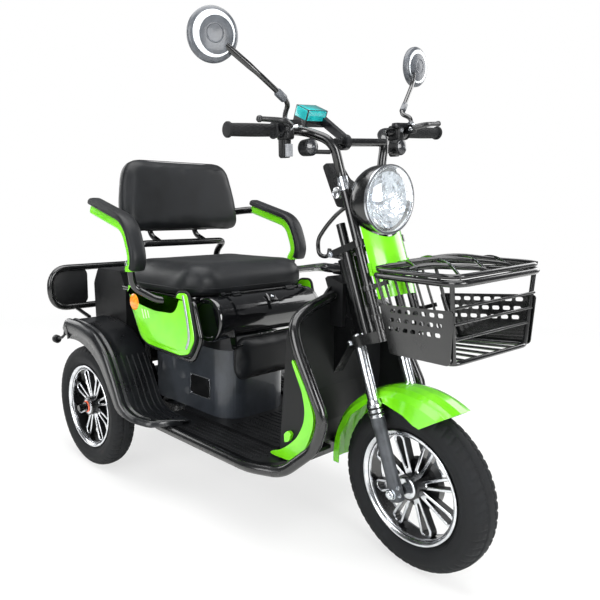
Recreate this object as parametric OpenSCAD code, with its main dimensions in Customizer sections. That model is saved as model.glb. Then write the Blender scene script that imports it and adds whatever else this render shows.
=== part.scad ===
// Electric tricycle: one steered front wheel, two rear wheels, a flat floor,
// an arm chair seat for one, a storage drum under it and a wire basket on the fork.
// Millimetres. X is forward, Y is to the left, Z is up.
// Inside the modules the origin is on the ground under the middle of the rear axle.

/* [Stance] */
// Distance from the rear axle to the front axle with the wheel straight
wheelbase = 1037; // [980:1:1100]
// Half of the distance between the middles of the rear tyres
half_track = 295; // [285:1:310]
// Lean of the steering axis and of the fork from the vertical
rake = 19.5; // [17:0.5:22]
// Distance of the steering axis behind the fork legs
fork_offset = 35; // [30:1:40]
// Angle that the steering rests at, negative to the right
steer_rest = -8.8; // [-12:0.1:12]

/* [Wheels] */
// Outer radius of each tyre
wheel_r = 204; // [196:1:208]
// Width of each tyre
tyre_w = 80; // [70:1:86]
// Outer radius of the rim's lip
rim_r = 139; // [134:1:142]
// Width of the rim over its lips
rim_w = 62; // [54:1:66]
// Thickness of the rim's barrel
rim_wall = 6; // [4:0.5:8]
// Number of looped spokes in a rim
spoke_count = 8; // [6:1:10]
// Thickness of the spokes along the axle
spoke_t = 18; // [12:1:24]
// Radius of the hub
hub_r = 31; // [26:1:36]
// Length of the hub along the axle
hub_len = 58; // [50:1:62]
// Radius of the brake drum on the hub
drum_r = 62; // [50:1:70]
// Radius of the front axle bolt
front_axle_r = 7; // [6:0.5:8]
// Radius of the rear axle's spindles
rear_axle_r = 10; // [8:0.5:12]
// Running clearance between an axle or a hinge pin and its bore
run_gap = 0.05; // [0.02:0.01:0.08]
// Gap between pieces that are seated on each other
seat_gap = 0.3; // [0.2:0.05:0.5]

/* [Fork] */
// Distance of each fork leg from the middle plane
leg_y = 66; // [63:1:72]
// Radius of the chrome stanchions
stanchion_r = 13.5; // [12:0.5:15]
// Radius of the sliders
slider_r = 16; // [15:0.5:18]
// Height of the dust seals along the fork, above the axle
seal_w = 178; // [160:1:190]
// Height of the lower yoke along the fork, above the axle
low_yoke_w = 350; // [330:1:360]
// Height of the upper yoke along the fork, above the axle
top_yoke_w = 575; // [560:1:590]
// Thickness of both yokes
yoke_t = 26; // [20:1:30]
// Radius of the steerer tube
steerer_r = 15; // [13:0.5:17]
// Radius of the four fork tubes and of the handlebar
bar_r = 11; // [9.5:0.5:12]
// Distance of the front pair of fork tubes ahead of the legs
tube_a_u = 75; // [70:1:80]
// Distance of the rear pair of fork tubes ahead of the legs
tube_b_u = 34; // [30:1:38]
// Upper end of the front pair of fork tubes along the fork
tube_a_top = 733; // [700:1:760]
// Upper end of the rear pair of fork tubes along the fork
tube_b_top = 645; // [625:1:665]

/* [Handlebar] */
// Height of the grips above the front axle
grip_up = 839; // [810:1:860]
// Distance of the grips behind the front axle
grip_back = 240; // [220:1:260]
// Distance of the bar's ends from the middle plane
bar_end_y = 338; // [320:1:350]
// Length of each grip
grip_len = 126; // [110:1:130]
// Outer radius of the hand grips
grip_r = 14.5; // [13:0.5:18]
// Radius of the crossbar
crossbar_r = 13; // [11:0.5:15]
// Radius of the mirrors
mirror_r = 55; // [50:1:64]
// Distance of the right mirror from the middle plane
mirror_right_y = 384; // [370:1:392]
// Distance of the left mirror from the middle plane
mirror_left_y = 402; // [390:1:410]

/* [Headlight and cowl] */
// Radius of the headlight
lamp_r = 80; // [74:1:82]
// Height of the headlight above the front axle
lamp_up = 672; // [650:1:700]
// Distance of the lamp face behind the front axle
lamp_back = 92; // [80:1:100]
// Thickness of the cowl
cowl_t = 3; // [2:0.5:4]

/* [Basket] */
// Height of the basket rim above the front axle
basket_up = 516; // [500:1:530]
// Depth of the basket from rim to floor
basket_d = 168; // [150:1:180]
// Distance of the basket front ahead of the front axle
basket_reach = 196; // [180:1:210]
// Half of the width of the rim at the front
basket_front_y = 135; // [120:1:150]
// Half of the width of the rim at the rear
basket_rear_y = 98; // [90:1:105]
// Radius of the rim's tube
rim_tube_r = 7; // [5:0.5:8]
// Thickness of the basket's sheet sides
sheet_t = 3; // [2:0.5:4]

/* [Floor and leg shield] */
// Height of the floor pan's underside
floor_z = 222; // [216:1:226]
// Thickness of the floor pan's edge
floor_t = 10; // [8:1:12]
// Height of the raised mat above the floor pan
mat_t = 8; // [5:1:10]
// Half of the width of the raised mat
mat_y = 156; // [145:1:165]
// Half of the width of the floor pan
floor_y = 252; // [240:1:262]
// Room between the front tyre and the back of the leg shield
shield_gap = 43; // [36:1:52]
// Radius of the edge tube of the floor and leg shield
edge_r = 14; // [12:0.5:16]
// Half of the width of the leg shield
shield_y = 190; // [180:1:196]
// Thickness of the leg shield
shield_t = 6; // [4:0.5:8]

/* [Seat] */
// Height of the seat pan's top
seat_z = 612; // [600:1:620]
// Thickness of the seat cushion
seat_t = 90; // [80:1:100]
// Half of the width of the seat cushion
seat_y = 247; // [235:1:250]
// Length of the seat cushion
seat_len = 405; // [380:1:410]
// Height of the backrest cushion
back_h = 232; // [210:1:250]
// Half of the width of the backrest cushion
back_y = 238; // [225:1:245]
// Thickness of the backrest cushion
back_t = 62; // [50:1:70]
// Lean of the backrest
back_lean = 9; // [5:0.5:14]
// Distance of the arm tubes from the middle plane
arm_y = 333; // [325:1:340]
// Radius of the arm tubes
arm_r = 13; // [11:0.5:14]
// Thickness of the arm pads
pad_t = 20; // [14:1:24]
// Width of the arm pads
pad_w = 50; // [40:1:56]

/* [Storage drum and front pad] */
// Outer radius of the storage drum
store_r = 62; // [56:1:62]
// Wall of the storage drum
store_wall = 4; // [3:0.5:6]
// Length of the storage drum
store_len = 400; // [380:1:410]
// Length of the drum's lid
lid_len = 290; // [260:1:310]
// Thickness of the drum's lid
lid_t = 4; // [3:0.5:5]
// Width of the padded panel in front of the drum
front_pad_w = 280; // [260:1:300]
// Height of the padded panel in front of the drum
front_pad_h = 130; // [110:1:150]
// Thickness of the front pad
front_pad_t = 38; // [30:1:42]

/* [Battery box and rear] */
// Half of the width of the battery box
battery_y = 130; // [120:1:140]
// Distance of the box front ahead of the drum axis
battery_back = 10; // [0:1:30]
// Height of the battery box's top
battery_top = 448; // [430:1:452]
// Radius of the battery box's front corners
battery_corner = 72; // [50:1:90]
// Width over each rear fender
fender_w = 156; // [145:1:160]
// Thickness of the fenders' moulding
fender_t = 5; // [4:0.5:6]
// Distance of the fenders' outer edges from the middle plane
fender_y = 362; // [355:1:368]
// Distance of the rear hoop behind the rear axle
hoop_back = 272; // [260:1:290]
// Radius of the rear hoop's tube
hoop_r = 12; // [10:0.5:14]

/* [Hidden] */
$fn = 64;

sr = sin(rake);
cr = cos(rake);
axis_foot = [wheelbase - fork_offset * cr, 0, wheel_r - fork_offset * sr];
overhang = 19;
lamp_depth = 25;
seat_back_x = 84;
floor_front = wheelbase - wheel_r - shield_gap;
grip_x = wheelbase - grip_back;
grip_z = wheel_r + grip_up;
lamp_x = wheelbase - lamp_back;
lamp_z = wheel_r + lamp_up;
basket_z = wheel_r + basket_up;
basket_front = wheelbase + basket_reach;
store_x = seat_back_x + seat_len + 1;
battery_front = store_x + battery_back;
mid_x = (basket_front + overhang - hoop_back - lamp_depth) / 2;
SIDES = [-1, 1];

// ---- Shared forms ----

function unit(v) = v / norm(v);
function last(list) = list[len(list) - 1];

// Point of the fork: u ahead of the legs, v to the left, w up along the fork from the axle
function fork_point(u, v, w) = [wheelbase + u * cr - w * sr, v, wheel_r + u * sr + w * cr];

// Points of one bend that starts and ends about d away from its corner b
function bend(a, b, c, d, k) = let (p = b + unit(a - b) * min(d, norm(a - b) / 2),
    q = b + unit(c - b) * min(d, norm(c - b) / 2))
  [for (i = [0:k]) let (t = i / k) (1 - t) * (1 - t) * p + 2 * t * (1 - t) * b + t * t * q];

// Open route through the corners, with each inner corner rounded
function route(p, d, k = 4) = concat([p[0]],
  [for (i = [1:len(p) - 2]) each bend(p[i - 1], p[i], p[i + 1], d, k)], [last(p)]);

// Closed route through the corners, with each corner rounded
function ring_route(p, d, k = 4) = let (n = len(p))
  [for (i = [0:n - 1]) each bend(p[(i + n - 1) % n], p[i], p[(i + 1) % n], d, k)];

// Normals carried along a route without twist
function carry(t, n, i, out) = i == len(t) ? out :
  let (m = unit(n - (n * t[i]) * t[i])) carry(t, m, i + 1, concat(out, [m]));

function tangents(p, closed) = let (n = len(p))
  [for (i = [0:n - 1]) closed ? unit(p[(i + 1) % n] - p[(i + n - 1) % n])
    : unit(p[min(i + 1, n - 1)] - p[max(i - 1, 0)])];

// Points d to the left of a flat route
function beside(p, d) = let (t = tangents(p, false))
  [for (i = [0:len(p) - 1]) p[i] + d * [-t[i][1], t[i][0]]];

function reversed(p) = [for (i = [len(p) - 1:-1:0]) p[i]];

// Round tube along a route
module tube(p, r, closed = false, sides = 10) {
  n = len(p);
  t = tangents(p, closed);
  seed = abs(t[0][2]) < 0.8 ? [0, 0, 1] : [0, 1, 0];
  first = unit(seed - (seed * t[0]) * t[0]);
  m = carry(t, first, 1, [first]);
  points = [for (i = [0:n - 1]) let (b = cross(t[i], m[i]))
    for (j = [0:sides - 1]) p[i] + r * (cos(360 * j / sides) * m[i] + sin(360 * j / sides) * b)];
  walls = [for (i = [0:(closed ? n - 1 : n - 2)]) for (j = [0:sides - 1])
    let (k = (i + 1) % n, l = (j + 1) % sides)
    [i * sides + j, k * sides + j, k * sides + l, i * sides + l]];
  caps = closed ? [] : [[for (j = [0:sides - 1]) j],
    [for (j = [sides - 1:-1:0]) (n - 1) * sides + j]];
  polyhedron(points, concat(walls, caps), 4);
}

// Straight round bar between two points
module bar(a, b, r) {
  d = b - a;
  translate(a) rotate([0, acos(d[2] / norm(d)), atan2(d[1], d[0])]) cylinder(h = norm(d), r = r);
}

// Cylinder along Y, centred on y
module y_cylinder(x, y, z, r, len) {
  translate([x, y, z]) rotate([90, 0, 0]) cylinder(h = len, r = r, center = true);
}

// Cylinder along X from x
module x_cylinder(x, y, z, r, len) {
  translate([x, y, z]) rotate([0, 90, 0]) cylinder(h = len, r = r);
}

// Outline in X and Z, extruded along Y from y0 to y1
module side_extrude(y0, y1) {
  translate([0, y1, 0]) rotate([90, 0, 0]) linear_extrude(height = y1 - y0) children();
}

module rounded_rect(x0, x1, y0, y1, r) {
  translate([x0 + r, y0 + r]) offset(r = r, $fn = 32) square([x1 - x0 - 2 * r, y1 - y0 - 2 * r]);
}

// Places children of the fork's own frame: X is u, Y is v, Z is w
module in_fork() {
  translate([wheelbase, 0, wheel_r]) rotate([0, -rake, 0]) children();
}

// Turns the steered pieces to the angle that they rest at
module steered() {
  translate(axis_foot) rotate([0, -rake, 0]) rotate([0, 0, steer_rest]) rotate([0, rake, 0])
    translate(-axis_foot) children();
}

module both_sides() {
  children();
  mirror([0, 1, 0]) children();
}

// Moves the whole vehicle so that the origin is under the middle of its box
module placed() {
  translate([-mid_x, 0, 0]) children();
}

// ---- Wheels: made about Y, with the outer face towards -Y ----

bead_r = rim_r - 7.5;
bead_y = rim_w / 2 - 7;
tyre_profile = let (h = tyre_w / 2, d = wheel_r - rim_r) [
  [bead_r, -bead_y], [rim_r, -bead_y - 1], [rim_r + 0.12 * d, -0.80 * h],
  [rim_r + 0.30 * d, -0.97 * h], [rim_r + 0.50 * d, -h], [rim_r + 0.68 * d, -0.96 * h],
  [rim_r + 0.84 * d, -0.82 * h], [rim_r + 0.94 * d, -0.58 * h], [rim_r + 0.985 * d, -0.3 * h],
  [wheel_r, 0],
  [rim_r + 0.985 * d, 0.3 * h], [rim_r + 0.94 * d, 0.58 * h], [rim_r + 0.84 * d, 0.82 * h],
  [rim_r + 0.68 * d, 0.96 * h], [rim_r + 0.50 * d, h], [rim_r + 0.30 * d, 0.97 * h],
  [rim_r + 0.12 * d, 0.80 * h], [rim_r, bead_y + 1], [bead_r, bead_y]];

module tyre() {
  color([0.06, 0.06, 0.065]) rotate([90, 0, 0]) rotate_extrude($fn = 96) polygon(tyre_profile);
}

barrel_r = bead_r - seat_gap;
barrel_profile = let (h = rim_w / 2) [
  [rim_r, -h], [rim_r, -h + 4], [rim_r - 5, -bead_y - 1.6], [barrel_r, -bead_y - 1.6],
  [barrel_r, bead_y + 1.6], [rim_r - 5, bead_y + 1.6], [rim_r, h - 4], [rim_r, h],
  [rim_r - 6, h], [barrel_r - rim_wall, h - 8], [barrel_r - rim_wall, -h + 8], [rim_r - 6, -h]];

// Outline of two round ends, of radius r0 at x0 and r1 at x1, joined by straight sides
function slot_outline(x0, r0, x1, r1) = let (q = acos((r0 - r1) / (x1 - x0)), k = 8) concat(
  [for (i = [0:k]) let (a = -q + 2 * q * i / k) [x1 + r1 * cos(a), r1 * sin(a)]],
  [for (i = [0:k]) let (a = q + (360 - 2 * q) * i / k) [x0 + r0 * cos(a), r0 * sin(a)]]);

module spoke_outline() {
  tip = barrel_r - rim_wall - 15;
  difference() {
    polygon(slot_outline(hub_r + 2, 10, tip, 17));
    polygon(slot_outline(hub_r + 17, 3.4, tip - 1, 9.5));
  }
}

module rim(bore_r) {
  color([0.16, 0.16, 0.17]) rotate([90, 0, 0]) difference() {
    union() {
      rotate_extrude($fn = 96) polygon(barrel_profile);
      translate([0, 0, -spoke_t / 2]) linear_extrude(height = spoke_t)
        for (i = [0:spoke_count - 1]) rotate(360 * (i + 0.5) / spoke_count) spoke_outline();
      cylinder(h = hub_len, r = hub_r, center = true);
      translate([0, 0, -hub_len / 2]) cylinder(h = (hub_len - spoke_t) / 2, r = drum_r);
    }
    cylinder(h = 2 * hub_len, r = bore_r, center = true);
  }
}

module at_front_wheel() {
  steered() translate([wheelbase, 0, wheel_r]) children();
}

module at_right_wheel() {
  translate([0, -half_track, wheel_r]) children();
}

module at_left_wheel() {
  translate([0, half_track, wheel_r]) rotate([0, 0, 180]) children();
}

module front_tyre() { at_front_wheel() tyre(); }
module right_tyre() { at_right_wheel() tyre(); }
module left_tyre() { at_left_wheel() tyre(); }
module front_rim() { at_front_wheel() rim(front_axle_r + run_gap); }
module right_rim() { at_right_wheel() rim(rear_axle_r + run_gap); }
module left_rim() { at_left_wheel() rim(rear_axle_r + run_gap); }

// ---- Chassis ----

rail_w = 30;
rail_y = 110;
head_bottom = low_yoke_w + yoke_t + 3;
head_top = top_yoke_w - 3;
head_r = 28;
neck_half = 19;
rear_rail_z = 296;
post_z = rear_rail_z - 50;

// Side view of a chassis rail, kicked up over the rear axle
rail_side = [[-hoop_back + 30, rear_rail_z], [-hoop_back + 30, rear_rail_z + 30], [60, rear_rail_z + 30],
  [120, floor_z - seat_gap], [floor_front - 24, floor_z - seat_gap],
  [floor_front - 24, floor_z - 28], [108, floor_z - 28], [48, rear_rail_z]];

// Side view of the down tube between the floor and the steering head
neck_low = fork_point(-fork_offset, 0, head_bottom + 18);
neck_high = fork_point(-fork_offset, 0, head_bottom + 110);
down_side = [[floor_front - 60, floor_z - 28], [floor_front - 24, floor_z - 28],
  [floor_front - 18, 300], [floor_front - 4, 420], [neck_low[0] - 12, neck_low[2] - 10],
  [neck_high[0], neck_high[2]], [neck_high[0] - 24, neck_high[2] - 4],
  [floor_front - 44, 440], [floor_front - 60, 300]];

// Place where the guard bar meets the socket behind the steering head
guard_z = head_top * cr + wheel_r - 40;
guard_x = fork_point(-fork_offset, 0, head_top - 30)[0] - 52;

module main_frame() {
  color([0.07, 0.07, 0.075]) {
    for (s = SIDES) {
      side_extrude(s * rail_y - rail_w / 2, s * rail_y + rail_w / 2) polygon(rail_side);
      translate([85, s * 150 - 14, post_z]) cube([28, 28, seat_z - 12 - post_z]);
    }
    translate([floor_front - 60, -rail_y, floor_z - 28]) cube([36, 2 * rail_y, 27]);
    translate([300, -rail_y, floor_z - 28]) cube([30, 2 * rail_y, 27]);
    translate([85, -150, post_z]) cube([28, 300, 28]);
    translate([-hoop_back + 30, -rail_y, rear_rail_z]) cube([26, 2 * rail_y, 30]);
    difference() {
      union() {
        side_extrude(-neck_half, neck_half) polygon(down_side);
        in_fork() translate([-fork_offset, 0, head_bottom]) cylinder(h = head_top - head_bottom, r = head_r);
        x_cylinder(guard_x, 0, guard_z, 15, 30);
      }
      in_fork() translate([-fork_offset, 0, head_bottom - 20])
        cylinder(h = head_top - head_bottom + 40, r = steerer_r + run_gap);
    }
  }
}

// ---- Floor ----

module floor_outline(edge) {
  corner = 80;
  difference() {
    offset(r = corner - edge, $fn = 48) square_from(290, floor_front - corner, floor_y - corner);
    translate([0, -400]) square([300, 800]);
  }
  square_from(300, 460, floor_y - edge);
}

module square_from(x0, x1, half_y) {
  translate([x0, -half_y]) square([x1 - x0, 2 * half_y]);
}

module floor_pan() {
  color([0.10, 0.10, 0.105]) {
    translate([0, 0, floor_z]) linear_extrude(height = floor_t) difference() {
      floor_outline(0);
      square_from(floor_front - 60 - seat_gap, floor_front, neck_half + seat_gap);
    }
    translate([0, 0, floor_z + floor_t]) linear_extrude(height = mat_t)
      rounded_rect(300, floor_front - 62, -mat_y, mat_y, 20);
    for (i = [-6:6])
      translate([battery_front + 20, i * 22 - 2.5, floor_z + floor_t + mat_t]) cube([floor_front - battery_front - 96, 5, 2]);
  }
}

// ---- Edge tubes of the floor and leg shield ----

edge_y = floor_y + edge_r + seat_gap;
edge_route = route([[335, -edge_y, floor_z - 4], [floor_front - 60, -edge_y, floor_z - 4],
  [floor_front + 28, -edge_y + 30, floor_z + 2], [floor_front + 103, -205, 300],
  [floor_front + 126, -205, 378], [floor_front + 40, -205, 532], [floor_front + 16, -196, 584],
  [floor_front + 12, -150, 612], [floor_front - 3 + edge_r + seat_gap, -44, 640]], 30, 4);

module floor_rails() {
  color([0.05, 0.05, 0.055]) both_sides() tube(edge_route, edge_r);
}

// ---- Leg shield ----

shield_curve = [[floor_front - 22, floor_z + floor_t + seat_gap], [floor_front - 6, 300],
  [floor_front + 4, 400], [floor_front, 500], [floor_front - 4, 600], [floor_front - 2, 660]];

module shield_band(t) {
  polygon(concat(shield_curve, [for (i = [len(shield_curve) - 1:-1:0]) shield_curve[i] - [t, 0]]));
}

module leg_shield() {
  color([0.07, 0.07, 0.075]) difference() {
    union() {
      intersection() {
        side_extrude(-shield_y, shield_y) shield_band(shield_t);
        translate([600, 0, 0]) rotate([90, 0, 90]) linear_extrude(height = 400)
          polygon([[-shield_y, 226], [-shield_y, 560], [-150, 602], [-60, 640], [-40, 660],
            [40, 660], [60, 640], [150, 602], [shield_y, 560], [shield_y, 226]]);
      }
      side_extrude(-34, 34) polygon([[floor_front - 8, 560], [floor_front - 12, 650],
        [floor_front - 24, 680], [floor_front - 16, 686], [floor_front + 34, 670], [floor_front + 34, 560]]);
      both_sides() side_extrude(-shield_y, -shield_y + shield_t)
        polygon([[floor_front - 26, 236], [floor_front + 40, 246], [floor_front + 82, 300], [floor_front + 106, 374],
          [floor_front + 72, 440], [floor_front + 14, 545], [floor_front - 8, 556]]);
    }
    side_extrude(-neck_half - seat_gap, neck_half + seat_gap) offset(delta = seat_gap) polygon(down_side);
    in_fork() translate([-fork_offset, 0, 0]) cylinder(h = 700, r = head_r + seat_gap);
    x_cylinder(guard_x - 20, 0, guard_z, 15 + seat_gap, 80);
  }
}

module shield_trims() {
  color([0.35, 0.85, 0.05]) both_sides()
    side_extrude(-shield_y - 8, -shield_y - seat_gap)
      polygon([[floor_front - 30, 242], [floor_front + 34, 256], [floor_front + 60, 310],
        [floor_front + 78, 372], [floor_front + 38, 446], [floor_front + 22, 444],
        [floor_front + 48, 374], [floor_front + 36, 320], [floor_front + 10, 274], [floor_front - 40, 254]]);
}

// ---- Battery box ----

battery_z = floor_z + floor_t + mat_t + seat_gap;

module battery_box() {
  color([0.22, 0.22, 0.24]) translate([0, 0, battery_z]) linear_extrude(height = battery_top - battery_z)
    difference() {
      offset(r = battery_corner, $fn = 48)
        square_from(100, battery_front - battery_corner, battery_y - battery_corner);
      translate([0, -300]) square([135, 600]);
    }
}

// ---- Side panels ----

panel_outline = [[163, 629], [238, 593], [318, 583], [405, 586], [424, 627], [468, 629], [494, 533], [500, 503],
  [475, 459], [434, 448], [271, 455], [233, 471], [185, 554]];
panel_y = 245 + seat_gap;

module side_panels() {
  color([0.35, 0.85, 0.05]) both_sides() {
    side_extrude(-panel_y - 8, -panel_y) offset(r = 6, $fn = 24) offset(delta = -6) polygon(panel_outline);
    side_extrude(-panel_y - 14, -panel_y - 8) offset(r = 6, $fn = 24) offset(delta = -20)
      polygon(panel_outline);
  }
}

// ---- Storage drum, its lid and the front pad ----

store_z = seat_z - 59;
lid_from = 12;
lid_to = 72;
pin_r = 3;
lid_hinge_r = store_r + pin_r + 3.8;
lid_hinge_a = lid_to + 8;

// Sector of a ring in X and Z about the drum's axis
module ring_sector(r0, r1, a0, a1) {
  polygon(concat([for (a = [a0:(a1 - a0) / 12:a1 + 0.01]) [r1 * cos(a), r1 * sin(a)]],
    [for (a = [a1:-(a1 - a0) / 12:a0 - 0.01]) [r0 * cos(a), r0 * sin(a)]]));
}

module drum_extrude(y0, y1) {
  translate([store_x, 0, store_z]) side_extrude(y0, y1) children();
}

hinge_x = store_x + lid_hinge_r * cos(lid_hinge_a);
hinge_z = store_z + lid_hinge_r * sin(lid_hinge_a);
pad_top = 500;
pad_back = battery_front + 18;
pad_pin_r = 4;
pad_pin_x = pad_back + front_pad_t - 11;
pad_pin_z = pad_top - 22;
pad_ear_y = front_pad_w / 2 + 9;

module storage_drum() {
  color([0.05, 0.05, 0.055]) {
    difference() {
      y_cylinder(store_x, 0, store_z, store_r, store_len);
      y_cylinder(store_x, 0, store_z, store_r - store_wall, store_len - 2 * store_wall);
      drum_extrude(-lid_len / 2 + 10, lid_len / 2 - 10) polygon([[0, 0],
        [90 * cos(lid_from + 4), 90 * sin(lid_from + 4)], [90 * cos(lid_to - 4), 90 * sin(lid_to - 4)]]);
    }
    for (s = SIDES) {
      y_cylinder(hinge_x, s * (lid_len / 2 + 12), hinge_z, pin_r + 3, 16);
      drum_extrude(s * (lid_len / 2 + 12) - 8, s * (lid_len / 2 + 12) + 8)
        ring_sector(store_r - 1, lid_hinge_r, lid_hinge_a - 4, lid_hinge_a + 4);
    }
    y_cylinder(hinge_x, 0, hinge_z, pin_r, lid_len + 10);
    for (s = SIDES) difference() {
      side_extrude(s * pad_ear_y - 3, s * pad_ear_y + 3) {
        translate([pad_pin_x, pad_pin_z]) circle(r = 9, $fn = 32);
        polygon([[pad_pin_x - 9, pad_pin_z], [pad_pin_x + 9, pad_pin_z], [store_x + 57, store_z - 22],
          [store_x + 36, store_z - 40]]);
      }
      y_cylinder(store_x, 0, store_z, store_r - store_wall / 2, store_len);
    }
    y_cylinder(pad_pin_x, 0, pad_pin_z, pad_pin_r, 2 * pad_ear_y);
  }
}

module storage_lid() {
  color([0.05, 0.05, 0.055]) difference() {
    union() {
      drum_extrude(-lid_len / 2, lid_len / 2)
        ring_sector(store_r + seat_gap, store_r + seat_gap + lid_t, lid_from, lid_to);
      for (s = SIDES) {
        y_cylinder(hinge_x, s * 110, hinge_z, pin_r + 3, 30);
        drum_extrude(s * 110 - 15, s * 110 + 15)
          ring_sector(store_r + seat_gap + 1, store_r + seat_gap + lid_t + 3, lid_to - 4, lid_hinge_a - 1);
      }
      drum_extrude(-18, 18) ring_sector(store_r + lid_t, store_r + lid_t + 7, lid_from + 4, lid_from + 22);
    }
    y_cylinder(hinge_x, 0, hinge_z, pin_r + run_gap, lid_len + 60);
  }
}

module front_pad() {
  color([0.07, 0.07, 0.075]) difference() {
    translate([pad_back, 0, 0]) rotate([90, 0, 90]) linear_extrude(height = front_pad_t)
      rounded_rect(-front_pad_w / 2, front_pad_w / 2, pad_top - front_pad_h, pad_top, 24);
    y_cylinder(pad_pin_x, 0, pad_pin_z, pad_pin_r + run_gap, 2 * front_pad_w);
    y_cylinder(store_x, 0, store_z, store_r + 6, 2 * front_pad_w);
  }
}

// ---- Seat ----

pan_back = 54;
pan_front = store_x - sqrt(store_r * store_r - pow(seat_z - 12 - store_z, 2)) - seat_gap;
hoop_bar = [118, 748];
bracket_bend = [62, 770];
arm_rear = [22, 846];
bracket_top = arm_rear - unit(arm_rear - bracket_bend) * (arm_r + seat_gap);

module seat_frame() {
  color([0.05, 0.05, 0.055]) {
    translate([pan_back, -225, seat_z - 12]) cube([pan_front - pan_back, 450, 12]);
    both_sides() {
      tube(route([[309, -arm_y, arm_foot_z - 0.4], [309, -arm_y, 674], [303, -322, 636], [345, -268, 598],
        [400, -200, 598]], 20), 11);
      tube(route([[store_x - 50, -212, seat_z - 12], [store_x - 16, -237, seat_z - 12], [store_x + 18, -237, 500], [store_x - 18, -237, 438],
        [262, -237, 446], [170, -150, 462], [113 + seat_gap, -150, 462]], 18), 8);
    }
    tube(route([[68, -186, seat_z - 6], [68, -184, 706], [hoop_bar[0], -178, hoop_bar[1]],
      [hoop_bar[0], 178, hoop_bar[1]], [68, 184, 706], [68, 186, seat_z - 6]], 24), 11);
    for (s = SIDES) {
      tube(route([[hoop_bar[0], s * 95, hoop_bar[1]], [bracket_bend[0], s * 95, bracket_bend[1]],
        [bracket_top[0], s * 95, bracket_top[1]]], 14, 2), 9);
      x_cylinder(bracket_bend[0] - 6, s * 95, bracket_bend[1] + 20, 6, 20);
    }
    at_back() translate([-back_t / 2 - seat_gap - 4, -130, 6]) cube([4, 260, 100]);
    tube(route([[303, 324, 652], [342, 326, 650], [store_x + 46, 208, 678], [guard_x - 58, 26, guard_z - 2],
      [guard_x - 26, 0, guard_z], [guard_x - seat_gap, 0, guard_z]], 24, 4), 12);
  }
}

module seat_cushion() {
  color([0.08, 0.08, 0.085]) intersection() {
    translate([0, 0, seat_z + seat_gap]) linear_extrude(height = seat_t)
      rounded_rect(seat_back_x, seat_back_x + seat_len, -seat_y, seat_y, 55);
    side_extrude(-300, 300) rounded_rect(seat_back_x, seat_back_x + seat_len, seat_z + seat_gap,
      seat_z + seat_t, 26);
    translate([0, 0, 0]) rotate([90, 0, 90]) linear_extrude(height = 900)
      rounded_rect(-seat_y, seat_y, seat_z + seat_gap, seat_z + seat_t, 26);
  }
}

back_low = [112, 0, 786];

module at_back() {
  translate(back_low) rotate([0, -back_lean, 0]) children();
}

module back_cushion() {
  color([0.08, 0.08, 0.085]) at_back() rotate([90, 0, 90]) translate([0, 0, -back_t / 2])
    linear_extrude(height = back_t) offset(r = 40, $fn = 40) offset(delta = -40)
      polygon([[-back_y + 34, 0], [back_y - 34, 0], [back_y + 8, back_h * 0.55], [back_y - 12, back_h],
        [-back_y + 12, back_h], [-back_y - 8, back_h * 0.55]]);
}

arm_foot_z = 682;
arm_corners = [[309, 693], [329, 718], [294, 806], [110, 858]];

function arm_point(p, side) = [p[0], side * arm_y, p[1]];

module arm_tubes() {
  color([0.35, 0.85, 0.05]) tube(route(concat([[309, -arm_y, arm_foot_z]],
    [for (p = arm_corners) arm_point(p, -1)], [[arm_rear[0], -arm_y + 60, arm_rear[1]]],
    [[arm_rear[0], arm_y - 60, arm_rear[1]]], [for (p = reversed(arm_corners)) arm_point(p, 1)],
    [[309, arm_y, arm_foot_z]]), 34, 4), arm_r);
}

// Middle line of the arm tube under its pad, in X and Z, from the front to the rear
pad_line = concat([arm_corners[1] + 0.2 * (arm_corners[2] - arm_corners[1])],
  bend(arm_corners[1], arm_corners[2], arm_corners[3], 34, 4),
  [arm_corners[3] + 0.08 * (arm_corners[2] - arm_corners[3])]);

module arm_pads() {
  color([0.07, 0.07, 0.075]) both_sides() side_extrude(-arm_y - pad_w / 2, -arm_y + pad_w / 2)
    polygon(concat(beside(pad_line, -arm_r - seat_gap), reversed(beside(pad_line, -arm_r - seat_gap - pad_t))));
}

// ---- Rear ----

step_z = floor_z + floor_t + fender_t + seat_gap;
fender_curve = route([[-176, 440], [-150, 486], [-20, 503], [120, 486], [196, 420], [262, 296],
  [306, 248], [380, step_z + 1], [470, step_z]], 22, 3);

// Band that follows the fender's side view, t thick, with its top lifted by rise
module fender_band(t, rise = 0) {
  polygon(concat(beside(fender_curve, rise), reversed(beside(fender_curve, rise - t))));
}

module rear_fenders() {
  inner = fender_y - fender_w;
  color([0.09, 0.09, 0.095]) both_sides() {
    side_extrude(-fender_y, -inner) fender_band(fender_t);
    side_extrude(-fender_y, -fender_y + 9) fender_band(fender_t + 4, 4);
    side_extrude(-fender_y, -fender_y + fender_t) difference() {
      polygon(concat(fender_curve, [[470, 228], [250, 228], [-170, 228]]));
      translate([0, wheel_r]) circle(r = wheel_r + 34);
      translate([-400, 0]) square([560, wheel_r + 60]);
      translate([230, 0]) square([400, 300]);
    }
    side_extrude(-inner - fender_t, -inner) difference() {
      polygon(concat(fender_curve, [[470, step_z - fender_t], [300, step_z - fender_t], [-176, 262]]));
      translate([-400, 0]) square([600, wheel_r + 62]);
    }
    for (i = [1:6]) side_extrude(-inner - 10 - i * 20, -inner - 5 - i * 20) intersection() {
      fender_band(fender_t, 2.5);
      translate([180, 200]) square([230, 240]);
    }
  }
}

beam_r = 26;
drum_face = half_track - hub_len / 2 - seat_gap;

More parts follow.
